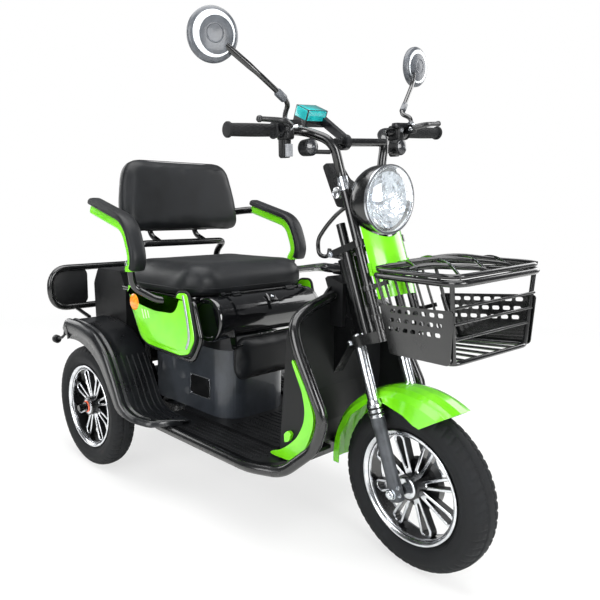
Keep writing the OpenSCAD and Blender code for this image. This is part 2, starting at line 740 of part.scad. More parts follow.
module rear_axle() {
  color([0.12, 0.12, 0.125]) {
    y_cylinder(0, 0, wheel_r, beam_r, 2 * drum_face - 40);
    for (s = SIDES) {
      y_cylinder(0, s * (drum_face - 12), wheel_r, drum_r + 6, 24);
      y_cylinder(0, s * (half_track + 12), wheel_r, rear_axle_r, 2 * (hub_len / 2 + 24));
      y_cylinder(0, s * (half_track + hub_len / 2 + seat_gap + 6), wheel_r, 16, 12);
      translate([-20, s * spring_y - 16, wheel_r + 18]) cube([40, 32, 20]);
    }
  }
}

module drive_motor() {
  color([0.30, 0.30, 0.31]) difference() {
    union() {
      y_cylinder(0, 0, wheel_r, 62, 84);
      y_cylinder(-104, 26, wheel_r + 4, 56, 150);
      translate([-104, -42, wheel_r - 40]) cube([104, 84, 84]);
    }
    y_cylinder(0, 0, wheel_r, beam_r + seat_gap, 400);
  }
}

spring_y = 176;
spring_low = wheel_r + 38;
spring_high = rear_rail_z + 90;

module rear_springs() {
  color([0.30, 0.30, 0.31]) for (s = SIDES) translate([0, s * spring_y, spring_low + seat_gap]) {
    h = spring_high - spring_low;
    coils = 7;
    pitch = (h - 24) / coils;
    rotate_extrude() polygon(concat([[0, 0], [17, 0], [17, 12]],
      [for (i = [0:coils - 1]) each [[22, 12 + (i + 0.25) * pitch], [22, 12 + (i + 0.55) * pitch],
        [15, 12 + (i + 0.9) * pitch]]], [[17, h - 12], [17, h], [0, h]]));
  }
}

module rear_cover() {
  color([0.09, 0.09, 0.095]) difference() {
    side_extrude(-198, 198) offset(r = 24, $fn = 32) offset(delta = -24)
      polygon([[-150, rear_rail_z + 30 + seat_gap], [-162, 600], [-130, 655], [22, 655],
        [pan_back - seat_gap, 596], [pan_back - seat_gap, rear_rail_z + 30 + seat_gap]]);
    for (s = SIDES) translate([-60, s * spring_y - 30, 200]) cube([90, 60, spring_high - 200 + 2 * seat_gap]);
  }
}

hoop_low = 503;
hoop_high = 648;
hoop_y = 316;

module rear_hoop() {
  color([0.05, 0.05, 0.055]) {
    tube(ring_route([[-hoop_back, -hoop_y, hoop_low], [-hoop_back, hoop_y, hoop_low],
      [-hoop_back, hoop_y, hoop_high], [-hoop_back, -hoop_y, hoop_high]], 70, 5), hoop_r, true);
    for (s = SIDES) {
      translate([-hoop_back - 3, s * 235 - 68, hoop_low + 6]) cube([6, 136, hoop_high - hoop_low - 12]);
      bar([-hoop_back, s * rail_y, hoop_low], [-hoop_back + 20, s * rail_y, rear_rail_z + 30 + seat_gap + 2], 9);
      translate([-hoop_back + 8, s * rail_y - 14, rear_rail_z + 30 + seat_gap]) cube([34, 28, 5]);
      bar([-hoop_back, s * 225, hoop_low], [-156, s * 225, 478], 7);
    }
  }
}

module rear_lamps() {
  color([0.75, 0.06, 0.05]) for (s = SIDES) {
    translate([-hoop_back - lamp_depth, s * 235 - 50, hoop_low + 36])
      cube([lamp_depth - 3 - seat_gap, 100, 70]);
  }
}

// ---- Fork ----

seal_h = 42;
top_yoke_t = 16;

module yoke(w, ring_r, outer_r, t) {
  in_fork() translate([0, 0, w]) linear_extrude(height = t) {
    hull() {
      translate([-fork_offset, 0]) circle(r = ring_r);
      for (s = SIDES) translate([0, s * leg_y]) circle(r = outer_r);
    }
    for (s = SIDES) hull() {
      translate([0, s * leg_y]) circle(r = outer_r);
      translate([tube_a_u, s * leg_y]) circle(r = bar_r + 4);
    }
  }
}

module fork_crown() {
  color([0.08, 0.08, 0.085]) difference() {
    union() {
      yoke(low_yoke_w, steerer_r + 12, stanchion_r + 8, yoke_t);
      yoke(top_yoke_w, steerer_r + 5, stanchion_r + 2, top_yoke_t);
      in_fork() translate([-fork_offset, 0, low_yoke_w])
        cylinder(h = top_yoke_w - low_yoke_w + top_yoke_t, r = steerer_r);
    }
    in_fork() for (s = SIDES) {
      translate([0, s * leg_y, low_yoke_w - 5]) cylinder(h = yoke_t + 10, r = stanchion_r + run_gap);
      for (u = [tube_a_u, tube_b_u]) translate([u, s * leg_y, low_yoke_w + 8])
        cylinder(h = tube_a_top - low_yoke_w, r = bar_r + run_gap);
    }
  }
}

module fork_tubes() {
  color([0.06, 0.06, 0.065]) in_fork() for (s = SIDES) {
    translate([tube_a_u, s * leg_y, low_yoke_w + 8 + run_gap])
      cylinder(h = tube_a_top - low_yoke_w - 8 - run_gap, r = bar_r);
    translate([tube_b_u, s * leg_y, low_yoke_w + 8 + run_gap])
      cylinder(h = tube_b_top - low_yoke_w - 8 - run_gap, r = bar_r);
  }
}

module fork_legs() {
  color([0.75, 0.75, 0.77]) {
    in_fork() for (s = SIDES) translate([0, s * leg_y, 0]) {
      translate([0, 0, seal_w]) cylinder(h = low_yoke_w + yoke_t + 4 - seal_w, r = stanchion_r);
      translate([0, 0, seal_w]) cylinder(h = seal_h, r = slider_r + 3);
      translate([0, 0, -22]) cylinder(h = seal_w + 22, r = slider_r);
    }
    y_cylinder(wheelbase, 0, wheel_r, front_axle_r, 2 * (leg_y + slider_r + 10));
    for (s = SIDES) {
      y_cylinder(wheelbase, s * (leg_y + slider_r + 2), wheel_r, 13, 12);
      spacer = leg_y - hub_len / 2 - seat_gap;
      y_cylinder(wheelbase, s * (leg_y - spacer / 2), wheel_r, 12, spacer);
    }
  }
}

// ---- Handlebar ----

crossbar_x = wheelbase - 186;
crossbar_z = wheel_r + 808;
a_end = fork_point(tube_a_u, -leg_y, tube_a_top);
along = [-sr, 0, cr];
bar_route = route([a_end, a_end + along * 24, [crossbar_x - 1, -84, crossbar_z + 2], [grip_x, -124, grip_z],
  [grip_x, -bar_end_y, grip_z]], 20, 4);

module handlebar() {
  color([0.06, 0.06, 0.065]) {
    both_sides() tube(bar_route, bar_r);
    y_cylinder(crossbar_x, 0, crossbar_z, crossbar_r, 160);
  }
}

grip_in = bar_end_y - grip_len + 2;

module on_bar(y0, y1, r) {
  for (s = SIDES) y_cylinder(grip_x, s * (y0 + y1) / 2, grip_z, r, y1 - y0);
}

module bar_bore() {
  on_bar(100, bar_end_y + seat_gap, bar_r + run_gap);
}

module grips() {
  color([0.06, 0.06, 0.065]) difference() {
    union() {
      on_bar(grip_in, bar_end_y + 6, grip_r);
      on_bar(grip_in, grip_in + 5, grip_r + 5);
      on_bar(bar_end_y, bar_end_y + 7, grip_r + 3);
    }
    bar_bore();
  }
}

perch_y = grip_in - 16;

module brake_levers() {
  color([0.12, 0.12, 0.125]) {
    difference() {
      union() {
        on_bar(perch_y, perch_y + 14, bar_r + 6);
        for (s = SIDES) translate([grip_x, s * (perch_y + 7) - 7, grip_z - 6]) cube([44, 14, 22]);
      }
      bar_bore();
    }
    both_sides() {
      tube(route([[grip_x + 38, -perch_y - 4, grip_z + 8], [grip_x + 58, -perch_y - 26, grip_z + 14],
        [grip_x + 46, -perch_y - 90, grip_z + 18]], 12, 3), 5.5, false, 8);
      translate([grip_x + 46, -perch_y - 90, grip_z + 18]) sphere(r = 8, $fn = 32);
    }
  }
}

module switches() {
  color([0.10, 0.10, 0.105]) difference() {
    for (s = SIDES) {
      y0 = perch_y - 31;
      translate([grip_x - 20, s > 0 ? y0 : -y0 - 30, grip_z - 62]) cube([40, 30, 80]);
    }
    bar_bore();
  }
}

dash_y = -78;

module dash() {
  color([0.12, 0.12, 0.125]) {
    translate([crossbar_x - 89, dash_y, crossbar_z + 70]) rotate([0, 24, 0]) translate([-24, -30, -20]) cube([48, 60, 40]);
    difference() {
      side_extrude(dash_y + 20, dash_y + 34) {
        translate([crossbar_x, crossbar_z]) circle(r = crossbar_r + 5, $fn = 40);
        polygon([[crossbar_x + 4, crossbar_z + crossbar_r + 3], [crossbar_x - 83, crossbar_z + 76],
          [crossbar_x - 99, crossbar_z + 64],
          [crossbar_x - 14, crossbar_z + 8]]);
      }
      y_cylinder(crossbar_x, 0, crossbar_z, crossbar_r + run_gap, 400);
    }
  }
}

// ---- Headlight and cowl ----

bucket_profile = [[0, 0], [lamp_r - 1, 0], [lamp_r, -3], [lamp_r, -14], [lamp_r - 4, -22],
  [lamp_r - 14, -38], [lamp_r - 26, -54], [lamp_r - 33, -66], [lamp_r - 36, -86], [lamp_r - 46, -100],
  [lamp_r - 62, -107], [0, -108]];
lens_profile = [[0, 0], [lamp_r - 5, 0], [lamp_r - 6, 4], [lamp_r - 14, 9], [lamp_r - 34, 16],
  [lamp_r - 56, 20], [0, 22]];

module headlight() {
  color([0.05, 0.05, 0.055]) {
    translate([lamp_x, 0, lamp_z]) rotate([0, 90, 0]) rotate_extrude() polygon(bucket_profile);
    for (s = SIDES) bar([lamp_x - 66, s * 40, lamp_z], [lamp_x - 66, s * (leg_y - bar_r - seat_gap), lamp_z], 7);
    side_extrude(-24, 24) polygon([[lamp_x - 98, lamp_z - 20], [lamp_x - 98, lamp_z + 26],
      [lamp_x - 150, lamp_z + 52], [lamp_x - 184, lamp_z + 96], [lamp_x - 202, lamp_z + 88],
      [lamp_x - 172, lamp_z + 26], [lamp_x - 150, lamp_z - 14]]);
    tube(route([[lamp_x - 128, 0, lamp_z - 8], [lamp_x - 176, 0, lamp_z - 34], [lamp_x - 216, 0, lamp_z - 66],
      [lamp_x - 250, 0, lamp_z - 102], [lamp_x - 246, 0, lamp_z - 144], [lamp_x - 208, 0, lamp_z - 146],
      [lamp_x - 203, 0, lamp_z - 124]], 16, 4), 5.5, false, 10);
  }
}

module headlight_lens() {
  color([0.92, 0.94, 0.96]) translate([lamp_x + seat_gap, 0, lamp_z]) rotate([0, 90, 0])
    rotate_extrude() polygon(lens_profile);
}

cowl_low = 446;
cowl_high = 690;
cowl_front = 112;
cowl_half = 63;
cowl_side = tube_a_u + bar_r + 5;
cowl_sag = cowl_front - cowl_side;
cowl_r = (cowl_half * cowl_half + cowl_sag * cowl_sag) / (2 * cowl_sag);

module cowl() {
  color([0.35, 0.85, 0.05]) difference() {
    in_fork() {
      translate([0, 0, cowl_low]) linear_extrude(height = cowl_high - cowl_low) intersection() {
        difference() {
          translate([cowl_front - cowl_r, 0]) circle(r = cowl_r, $fn = 96);
          translate([cowl_front - cowl_r, 0]) circle(r = cowl_r - cowl_t, $fn = 96);
        }
        translate([cowl_side, -cowl_half]) square([60, 2 * cowl_half]);
      }
      for (s = SIDES) translate([cowl_side - 4.7, s * (cowl_half - 1) - 3, cowl_low + 56]) cube([7.5, 6, 30]);
    }
    in_fork() translate([0, 0, 664]) rotate([0, 90, 0]) cylinder(h = 200, r = 66);
    x_cylinder(lamp_x - 60, 0, lamp_z, lamp_r + 4, 150);
    x_cylinder(lamp_x - 140, 0, lamp_z, lamp_r - 4, 140);
  }
}

// ---- Front fender ----

guard_in = wheel_r + 34;
guard_half = 56;
guard_t = 3;
guard_profile = [[guard_in - 60, -guard_half], [guard_in - 14, -guard_half], [guard_in - 2, -guard_half + 12],
  [guard_in + 4, -guard_half + 30], [guard_in + 6, 0], [guard_in + 4, guard_half - 30],
  [guard_in - 2, guard_half - 12], [guard_in - 14, guard_half], [guard_in - 60, guard_half],
  [guard_in - 60, guard_half - guard_t], [guard_in - 15, guard_half - guard_t],
  [guard_in - 4, guard_half - 14], [guard_in + 1, guard_half - 31], [guard_in + 3, 0],
  [guard_in + 1, -guard_half + 31], [guard_in - 4, -guard_half + 14], [guard_in - 15, -guard_half + guard_t],
  [guard_in - 60, -guard_half + guard_t]];

module front_fender() {
  color([0.35, 0.85, 0.05]) translate([wheelbase, 0, wheel_r]) difference() {
    intersection() {
      rotate([90, 0, 0]) rotate([0, 0, 40]) rotate_extrude(angle = 142, $fn = 96) polygon(guard_profile);
      side_extrude(-80, 80) polygon([[-262, -8], [-206, -8], [-200, 70], [-160, 140], [-98, 192],
        [-60, 204], [4, 190], [48, 168], [118, 214], [150, 260], [0, 300], [-262, 200]]);
    }
    for (s = SIDES) rotate([0, -rake, 0]) translate([0, s * leg_y, 0]) {
      cylinder(h = seal_w, r = slider_r + seat_gap);
      translate([0, 0, seal_w - seat_gap]) cylinder(h = seal_h + 2 * seat_gap, r = slider_r + 3 + seat_gap);
      cylinder(h = 400, r = stanchion_r + seat_gap);
    }
  }
}

// ---- Basket ----

basket_rear = wheelbase - 50;
rim_corners = [[basket_rear, -basket_rear_y, basket_z - 4], [basket_front, -basket_front_y, basket_z + 4],
  [basket_front, basket_front_y, basket_z + 4], [basket_rear, basket_rear_y, basket_z - 4]];
floor_rear = basket_rear + 66;
floor_front_x = basket_front - 12;
base_corners = [[floor_rear, -basket_rear_y + 4, basket_z - basket_d], [floor_front_x, -basket_front_y + 14,
  basket_z - basket_d + 14], [floor_front_x, basket_front_y - 14, basket_z - basket_d + 14],
  [floor_rear, basket_rear_y - 4, basket_z - basket_d]];
side_turn = atan((basket_front_y - basket_rear_y) / (basket_front - basket_rear));

flap_x = basket_rear - 7.5;
flap_z = basket_z + 9;
flap_r = 3.5;
flap_ear_y = 42;

// Sheet side with three rows of slots, in X and Z
module basket_side() {
  difference() {
    polygon([[basket_rear + 26, basket_z - 66], [basket_rear + 62, basket_z - basket_d - 2],
      [floor_front_x + 2, basket_z - basket_d + 12], [basket_front - 4, basket_z - 48]]);
    for (row = [0:2]) for (i = [0:6])
      translate([basket_rear + 62 + i * 23 - row * 3, basket_z - 78 - row * 20 + i * 2]) rotate(5)
        square([16, 9]);
  }
}

module basket() {
  color([0.05, 0.05, 0.055]) {
    y_cylinder(flap_x, 0, flap_z, flap_r, 2 * flap_ear_y + 6);
    for (s = SIDES) side_extrude(s * flap_ear_y - 2, s * flap_ear_y + 2)
      polygon([[flap_x - 4.5, flap_z + 2], [flap_x + 3.5, flap_z + 2], [flap_x + 3.5, flap_z - 4],
        [basket_rear, basket_z - 5], [basket_rear - 5, basket_z - 7]]);
    tube(ring_route(rim_corners, 22, 3), rim_tube_r, true, 8);
    tube(ring_route(base_corners, 18, 3), 5, true, 8);
    for (s = SIDES) {
      translate([basket_rear, s * (basket_rear_y - 2), 0]) rotate([0, 0, s * side_turn])
        translate([-basket_rear, 0, 0]) side_extrude(-sheet_t / 2, sheet_t / 2) basket_side();
      bar(rim_corners[s < 0 ? 1 : 2] + [-14, -s * 4, 0], base_corners[s < 0 ? 1 : 2] + [-4, -s * 6, 0], 4);
      bar(rim_corners[s < 0 ? 0 : 3] + [12, 0, 0], base_corners[s < 0 ? 0 : 3] + [12, 0, 0], 4);
    }
    for (k = [0.3, 0.5, 0.7]) {
      p = rim_corners[1] * (1 - k) + base_corners[1] * k;
      q = rim_corners[2] * (1 - k) + base_corners[2] * k;
      bar(p + [-6, 3, 0], q + [-6, -3, 0], 3);
    }
    for (k = [-1, -0.5, 0, 0.5, 1]) {
      bar([floor_rear, k * leg_y, basket_z - basket_d], [floor_front_x, k * 80, basket_z - basket_d + 14], 3);
      bar([basket_rear, k * leg_y, basket_z - 4], [floor_rear, k * leg_y, basket_z - basket_d], 3);
    }
    in_fork() difference() {
      for (s = SIDES) for (w = [400, 470]) {
        translate([tube_a_u, s * leg_y, w]) cylinder(h = 14, r = bar_r + 4);
        translate([tube_a_u + 8, s * (leg_y + 2) - 3.5, w + 2]) cube([118, 7, 10] - [tube_a_u - 8, 0, 0]);
      }
      for (s = SIDES) translate([tube_a_u, s * leg_y, 380]) cylinder(h = 130, r = bar_r + run_gap);
    }
  }
}

lid_r = 5;
lid_z = rim_tube_r + lid_r + 1;
lid_corners = [for (p = rim_corners) p + [p[0] < wheelbase ? 3 : -3, 0, lid_z]];

module basket_lid() {
  color([0.05, 0.05, 0.055]) difference() {
    union() {
      tube(ring_route(lid_corners, 22, 3), lid_r, true, 8);
      for (k = [0.2, 0.5, 0.8]) {
        a = lid_corners[0] * (1 - k) + lid_corners[3] * k;
        b = lid_corners[1] * (1 - k) + lid_corners[2] * k;
        m = (a + b) / 2 + [0, 0, 22];
        tube([a, a * 0.6 + m * 0.4 + [0, 0, 6], m, b * 0.6 + m * 0.4 + [0, 0, 6], b], 3, false, 6);
      }
      for (s = SIDES) {
        y_cylinder(flap_x, s * 30, flap_z, flap_r + 3, 14);
        translate([flap_x, s * 30 - 7, flap_z - 1.5]) cube([10.5, 14, 4]);
      }
    }
    y_cylinder(flap_x, 0, flap_z, flap_r + run_gap, 200);
  }
}

// ---- Mirrors and front signals ----

mirror_right = [grip_x + 25, -mirror_right_y, grip_z + 183];
mirror_left = [grip_x - 129, mirror_left_y, grip_z + 199];

module at_mirror(p, turn) {
  translate(p) rotate([0, 0, turn]) rotate([0, 90, 0]) children();
}

module mirror_shell() {
  rotate_extrude() polygon([[0, -9], [mirror_r - 5, -9], [mirror_r, -6], [mirror_r, 2],
    [mirror_r - 6, 9], [mirror_r - 18, 13], [0, 15]]);
}

module mirrors() {
  color([0.10, 0.10, 0.105]) {
    at_mirror(mirror_right, -12) mirror_shell();
    at_mirror(mirror_left, 8) mirror_shell();
    tube(route([[grip_x + 28, -perch_y - 7, grip_z + 16.3], [grip_x + 28, -perch_y - 7, grip_z + 34], [grip_x + 50, -perch_y - 12, grip_z + 53],
      [grip_x + 61, -300, grip_z + 107], [grip_x + 37, -mirror_right_y + 24, grip_z + 161]], 20, 3), 5.5, false, 8);
    tube(route([[grip_x + 28, perch_y + 7, grip_z + 16.3], [grip_x + 28, perch_y + 7, grip_z + 34], [grip_x - 7, perch_y + 8, grip_z + 47],
      [grip_x - 52, 300, grip_z + 132], [grip_x - 113, mirror_left_y - 26, grip_z + 175]], 20, 3), 5.5, false, 8);
  }
}

module mirror_glass() {
  color([0.80, 0.84, 0.88]) for (m = [[mirror_right, -12], [mirror_left, 8]])
    at_mirror(m[0], m[1]) translate([0, 0, -9 - seat_gap - 1.5]) cylinder(h = 1.5, r = mirror_r - 6);
}

signal_y = 147;

module front_signals() {
  color([0.95, 0.55, 0.10]) for (s = SIDES) {
    translate([crossbar_x - 39, s * signal_y, crossbar_z - 10]) rotate([0, 90, 0]) rotate_extrude()
      polygon([[0, 0], [12, 0], [19, 8], [20, 30], [17, 38], [9, 42], [0, 43]]);
    bar([crossbar_x - 29, s * signal_y, crossbar_z - 18], [crossbar_x - 4.6, s * 90.4, crossbar_z - 21.4], 5);
  }
}

// ---- Drawing of the nodes ----

placed() main_frame();
placed() floor_pan();
placed() floor_rails();
placed() leg_shield();
placed() shield_trims();
placed() battery_box();
placed() side_panels();
placed() storage_drum();
placed() seat_frame();
placed() seat_cushion();
placed() back_cushion();
placed() arm_tubes();
placed() arm_pads();
placed() rear_fenders();
placed() rear_axle();
placed() drive_motor();
placed() rear_springs();
placed() rear_cover();
placed() rear_hoop();
placed() rear_lamps();
placed() storage_lid();
placed() front_pad();
placed() steered() fork_crown();
placed() steered() fork_tubes();
placed() steered() fork_legs();
placed() steered() handlebar();
placed() steered() grips();
placed() steered() brake_levers();
placed() steered() switches();
placed() steered() dash();
placed() steered() headlight();
placed() steered() headlight_lens();
placed() steered() cowl();
placed() steered() front_fender();
placed() steered() basket();
placed() steered() mirrors();
placed() steered() mirror_glass();
placed() steered() front_signals();
placed() steered() basket_lid();
placed() front_tyre();
placed() front_rim();
placed() right_tyre();
placed() right_rim();
placed() left_tyre();
placed() left_rim();
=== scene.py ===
import math
import bpy
import numpy as np
from mathutils import Matrix, Vector


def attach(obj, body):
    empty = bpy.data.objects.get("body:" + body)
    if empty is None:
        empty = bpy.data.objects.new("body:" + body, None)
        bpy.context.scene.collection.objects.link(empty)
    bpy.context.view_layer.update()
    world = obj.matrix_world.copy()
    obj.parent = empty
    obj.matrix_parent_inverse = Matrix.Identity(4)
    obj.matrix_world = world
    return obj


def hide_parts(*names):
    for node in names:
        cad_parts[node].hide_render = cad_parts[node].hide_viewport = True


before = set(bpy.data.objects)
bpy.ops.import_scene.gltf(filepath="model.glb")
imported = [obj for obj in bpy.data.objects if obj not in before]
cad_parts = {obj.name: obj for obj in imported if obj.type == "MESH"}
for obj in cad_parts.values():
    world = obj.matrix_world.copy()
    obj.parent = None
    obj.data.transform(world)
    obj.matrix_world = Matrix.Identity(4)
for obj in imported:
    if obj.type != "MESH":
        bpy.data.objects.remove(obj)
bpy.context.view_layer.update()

# ---- Camera ----
# It stands ahead of the front wheel and to its right, at chest height, and looks back at the
# seat. A short lens makes the front wheel large and the rear wheel small.
camera_place = Vector((1.2858, -1.2328, 0.8493))
heading, dip, roll = (math.radians(a) for a in (140.437, -9.797, -0.194))
ahead = Vector((math.cos(dip) * math.cos(heading), math.cos(dip) * math.sin(heading),
                math.sin(dip)))
level = Vector((math.sin(heading), -math.cos(heading), 0))
above = level.cross(ahead)
right = level * math.cos(roll) + above * math.sin(roll)
above = above * math.cos(roll) - level * math.sin(roll)
camera_data = bpy.data.cameras.new("camera")
camera_data.lens = 35.84
camera_data.sensor_width = 36
camera_data.shift_x = 0.145
camera_data.shift_y = 0.025
camera = bpy.data.objects.new("camera", camera_data)
bpy.context.scene.collection.objects.link(camera)
camera.matrix_world = (Matrix.Translation(camera_place)
                       @ Matrix((right, above, -ahead)).transposed().to_4x4())
bpy.context.scene.camera = camera
bpy.context.scene.view_settings.view_transform = "Standard"

# ---- Studio ----
# A pale seamless paper floor, and large white cloth lamps above and to both sides, whose long
# soft reflections model the black paint.


def linear(code):
    """The sRGB hex colour as the linear values that a shader takes."""
    parts = [int(code[i:i + 2], 16) / 255 for i in (1, 3, 5)]
    return [c / 12.92 if c <= 0.04045 else ((c + 0.055) / 1.055) ** 2.4 for c in parts] + [1]


def add_node(tree, kind, values=None, links=None, **settings):
    """Adds a node with its settings, its input values and the outputs linked to its inputs."""
    made = tree.nodes.new("ShaderNode" + kind)
    for key, value in settings.items():
        setattr(made, key, value)
    for key, value in (values or {}).items():
        made.inputs[key].default_value = value
    for key, source in (links or {}).items():
        tree.links.new(source, made.inputs[key])
    return made


world = bpy.data.worlds.new("studio air")
bpy.context.scene.world = world
world.use_nodes = True
sky = world.node_tree
seen = add_node(sky, "LightPath")
plain = add_node(sky, "Math", links={0: seen.outputs["Is Camera Ray"],
                                     1: seen.outputs["Is Transmission Ray"]}, operation="MAXIMUM")
sky.nodes["Background"].inputs["Color"].default_value = linear("#F4F6FA")
sky.nodes["Background"].inputs["Strength"].default_value = 0.2
white = add_node(sky, "Background", {"Color": linear("#FFFFFF"), "Strength": 1.0})
blend_air = add_node(sky, "MixShader", links={0: plain.outputs[0],
                                              1: sky.nodes["Background"].outputs[0],
                                              2: white.outputs[0]})
sky.links.new(blend_air.outputs[0], sky.nodes["World Output"].inputs["Surface"])

paper = bpy.data.materials.new("matt white paper")
paper.use_nodes = True
tree = paper.node_tree
paper_shader = tree.nodes["Principled BSDF"]
paper_shader.inputs["Base Color"].default_value = linear("#F2F2F0")
paper_shader.inputs["Roughness"].default_value = 0.9
seen = add_node(tree, "LightPath")
# The paper is lit by hand towards its far edges, so that it runs into the white wall unseen.
reach = add_node(tree, "VectorMath", links={0: add_node(tree, "NewGeometry").outputs["Position"]},
                 operation="LENGTH")
share = add_node(tree, "MapRange", {"From Min": 1.3, "From Max": 3.6, "To Min": 0.66,
                                    "To Max": 1.0}, {"Value": reach.outputs["Value"]})
plain = add_node(tree, "Math", links={0: seen.outputs["Is Camera Ray"],
                                      1: share.outputs["Result"]}, operation="MULTIPLY")
glow = add_node(tree, "Emission", {"Color": linear("#FFFFFF"), "Strength": 1.0})
blend_floor = add_node(tree, "MixShader", links={0: plain.outputs[0], 1: paper_shader.outputs[0],
                                                 2: glow.outputs[0]})
tree.links.new(blend_floor.outputs[0], tree.nodes["Material Output"].inputs["Surface"])
floor_half = 9.0
floor_mesh = bpy.data.meshes.new("paper_floor")
floor_mesh.from_pydata([(-floor_half, -floor_half, 0), (floor_half, -floor_half, 0),
                        (floor_half, floor_half, 0), (-floor_half, floor_half, 0)], [],
                       [(0, 1, 2, 3)])
paper_floor = bpy.data.objects.new("paper_floor", floor_mesh)
floor_mesh.materials.append(paper)
bpy.context.scene.collection.objects.link(paper_floor)

# Each lamp: name, place, size in metres, power in watts
for lamp_name, lamp_place, lamp_size, power in (
        ("overhead_cloth", (0.2, -0.3, 3.2), 3.0, 122), ("right_cloth", (0.6, -3.4, 1.7), 2.2, 84),
        ("left_cloth", (1.0, 3.2, 1.9), 2.2, 56), ("front_strip", (3.6, -0.4, 1.5), 1.6, 84),
        ("rear_cloth", (-3.4, -0.8, 1.9), 2.2, 52)):
    cloth = bpy.data.lights.new(lamp_name, "AREA")
    cloth.size = lamp_size
    cloth.energy = power
    lamp = bpy.data.objects.new(lamp_name, cloth)
    lamp.location = lamp_place
    lamp.rotation_euler = (Vector((0, 0, 0.5)) - lamp.location).to_track_quat("-Z", "Y").to_euler()
    bpy.context.scene.collection.objects.link(lamp)

# ---- Tyres ----
# Three tubeless scooter tyres of moulded black rubber, with blocks along both shoulders, two
# zigzag grooves down the middle and a fine raised line round each side wall.
rear_to_middle = 477.5
wheelbase, half_track, wheel_r = 1037.0, 295.0, 204.0
rim_r = 139.0
rake, fork_offset, steer_rest = math.radians(19.5), 35.0, math.radians(-8.8)
steer_foot = Vector((wheelbase - fork_offset * math.cos(rake), 0,
                     wheel_r - fork_offset * math.sin(rake)))
straight = Matrix.Identity(4)
turned = (Matrix.Translation(steer_foot) @ Matrix.Rotation(-rake, 4, "Y")
          @ Matrix.Rotation(steer_rest, 4, "Z") @ Matrix.Rotation(rake, 4, "Y")
          @ Matrix.Translation(-steer_foot))
fork_frame = turned @ Matrix.Translation((wheelbase, 0, wheel_r)) @ Matrix.Rotation(-rake, 4, "Y")
to_frame = Matrix.Scale(0.001, 4) @ Matrix.Translation((-rear_to_middle, 0, 0))


def new_finish(name, slot, code, roughness, metallic=0.0, **sockets):
    """A finish of one base colour. The slot argument, the record's slot that it belongs to, is not used."""
    made = bpy.data.materials.new(name)
    made.use_nodes = True
    shader = made.node_tree.nodes["Principled BSDF"]
    shader.inputs["Base Color"].default_value = linear(code)
    shader.inputs["Roughness"].default_value = roughness
    shader.inputs["Metallic"].default_value = metallic
    for key, value in sockets.items():
        shader.inputs[key.replace("_", " ")].default_value = value
    return made


def worked_surface(finish, dark, light, patch_mm, rough_low, rough_high, grain_mm, depth_mm,
                   cells=False):
    """Gives a finish its drifting colour and gloss over patches, and the small relief of its surface."""
    tree = finish.node_tree
    shader = tree.nodes["Principled BSDF"]
    where = add_node(tree, "TexCoord").outputs["Object"]
    drift = add_node(tree, "TexNoise", {"Scale": 1000 / patch_mm, "Detail": 5.0, "Roughness": 0.6},
                     {"Vector": where})
    colour = add_node(tree, "ValToRGB", links={"Fac": drift.outputs["Fac"]})
    colour.color_ramp.elements[0].position, colour.color_ramp.elements[1].position = 0.32, 0.7
    colour.color_ramp.elements[0].color, colour.color_ramp.elements[1].color = linear(dark), linear(light)
    gloss = add_node(tree, "MapRange", {"From Min": 0.3, "From Max": 0.7, "To Min": rough_low,
                                        "To Max": rough_high}, {"Value": drift.outputs["Fac"]})
    if cells:
        grain = add_node(tree, "TexVoronoi", {"Scale": 1000 / grain_mm}, {"Vector": where},
                         feature="DISTANCE_TO_EDGE").outputs["Distance"]
    else:
        grain = add_node(tree, "TexNoise", {"Scale": 1000 / grain_mm, "Detail": 2.0},
                         {"Vector": where}).outputs["Fac"]
    relief = add_node(tree, "Bump", {"Strength": 0.7, "Distance": depth_mm / 1000},
                      {"Height": grain})
    tree.links.new(colour.outputs["Color"], shader.inputs["Base Color"])
    tree.links.new(gloss.outputs["Result"], shader.inputs["Roughness"])
    tree.links.new(relief.outputs["Normal"], shader.inputs["Normal"])


def make_piece(name, points, faces, finish, body, move=straight, bevel=0.0, sharp=38, replaces=(),
               smooth=True):
    """A mesh of points in millimetres, moved to its place, finished, and fixed to its body."""
    mesh = bpy.data.meshes.new(name)
    mesh.from_pydata([tuple(p) for p in points], [], [tuple(int(i) for i in f) for f in faces])
    mesh.transform(to_frame @ move)
    mesh.materials.append(finish)
    piece = bpy.data.objects.new(name, mesh)
    bpy.context.scene.collection.objects.link(piece)
    if smooth:
        mesh.shade_smooth()
        mesh.set_sharp_from_angle(angle=math.radians(sharp))
    if bevel:
        edges = piece.modifiers.new("edges", "BEVEL")
        edges.width = bevel / 1000
        edges.segments = 3
        edges.limit_method = "ANGLE"
        edges.angle_limit = math.radians(35)
        edges.harden_normals = True
    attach(piece, body)
    if replaces:
        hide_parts(*replaces)
    return piece


def rounded_line(corners, reach, steps=4, closed=False):
    """Points of a line through the corners, with every corner drawn as a smooth bend."""
    p = [Vector(c) for c in corners]
    n = len(p)
    out = [] if closed else [p[0]]
    for i in (range(n) if closed else range(1, n - 1)):
        a, b, c = p[i - 1], p[i], p[(i + 1) % n]
        start = b + (a - b).normalized() * min(reach, (a - b).length / 2)
        end = b + (c - b).normalized() * min(reach, (c - b).length / 2)
        out += [(1 - t) ** 2 * start + 2 * t * (1 - t) * b + t * t * end
                for t in (k / steps for k in range(steps + 1))]
    return out if closed else out + [p[-1]]


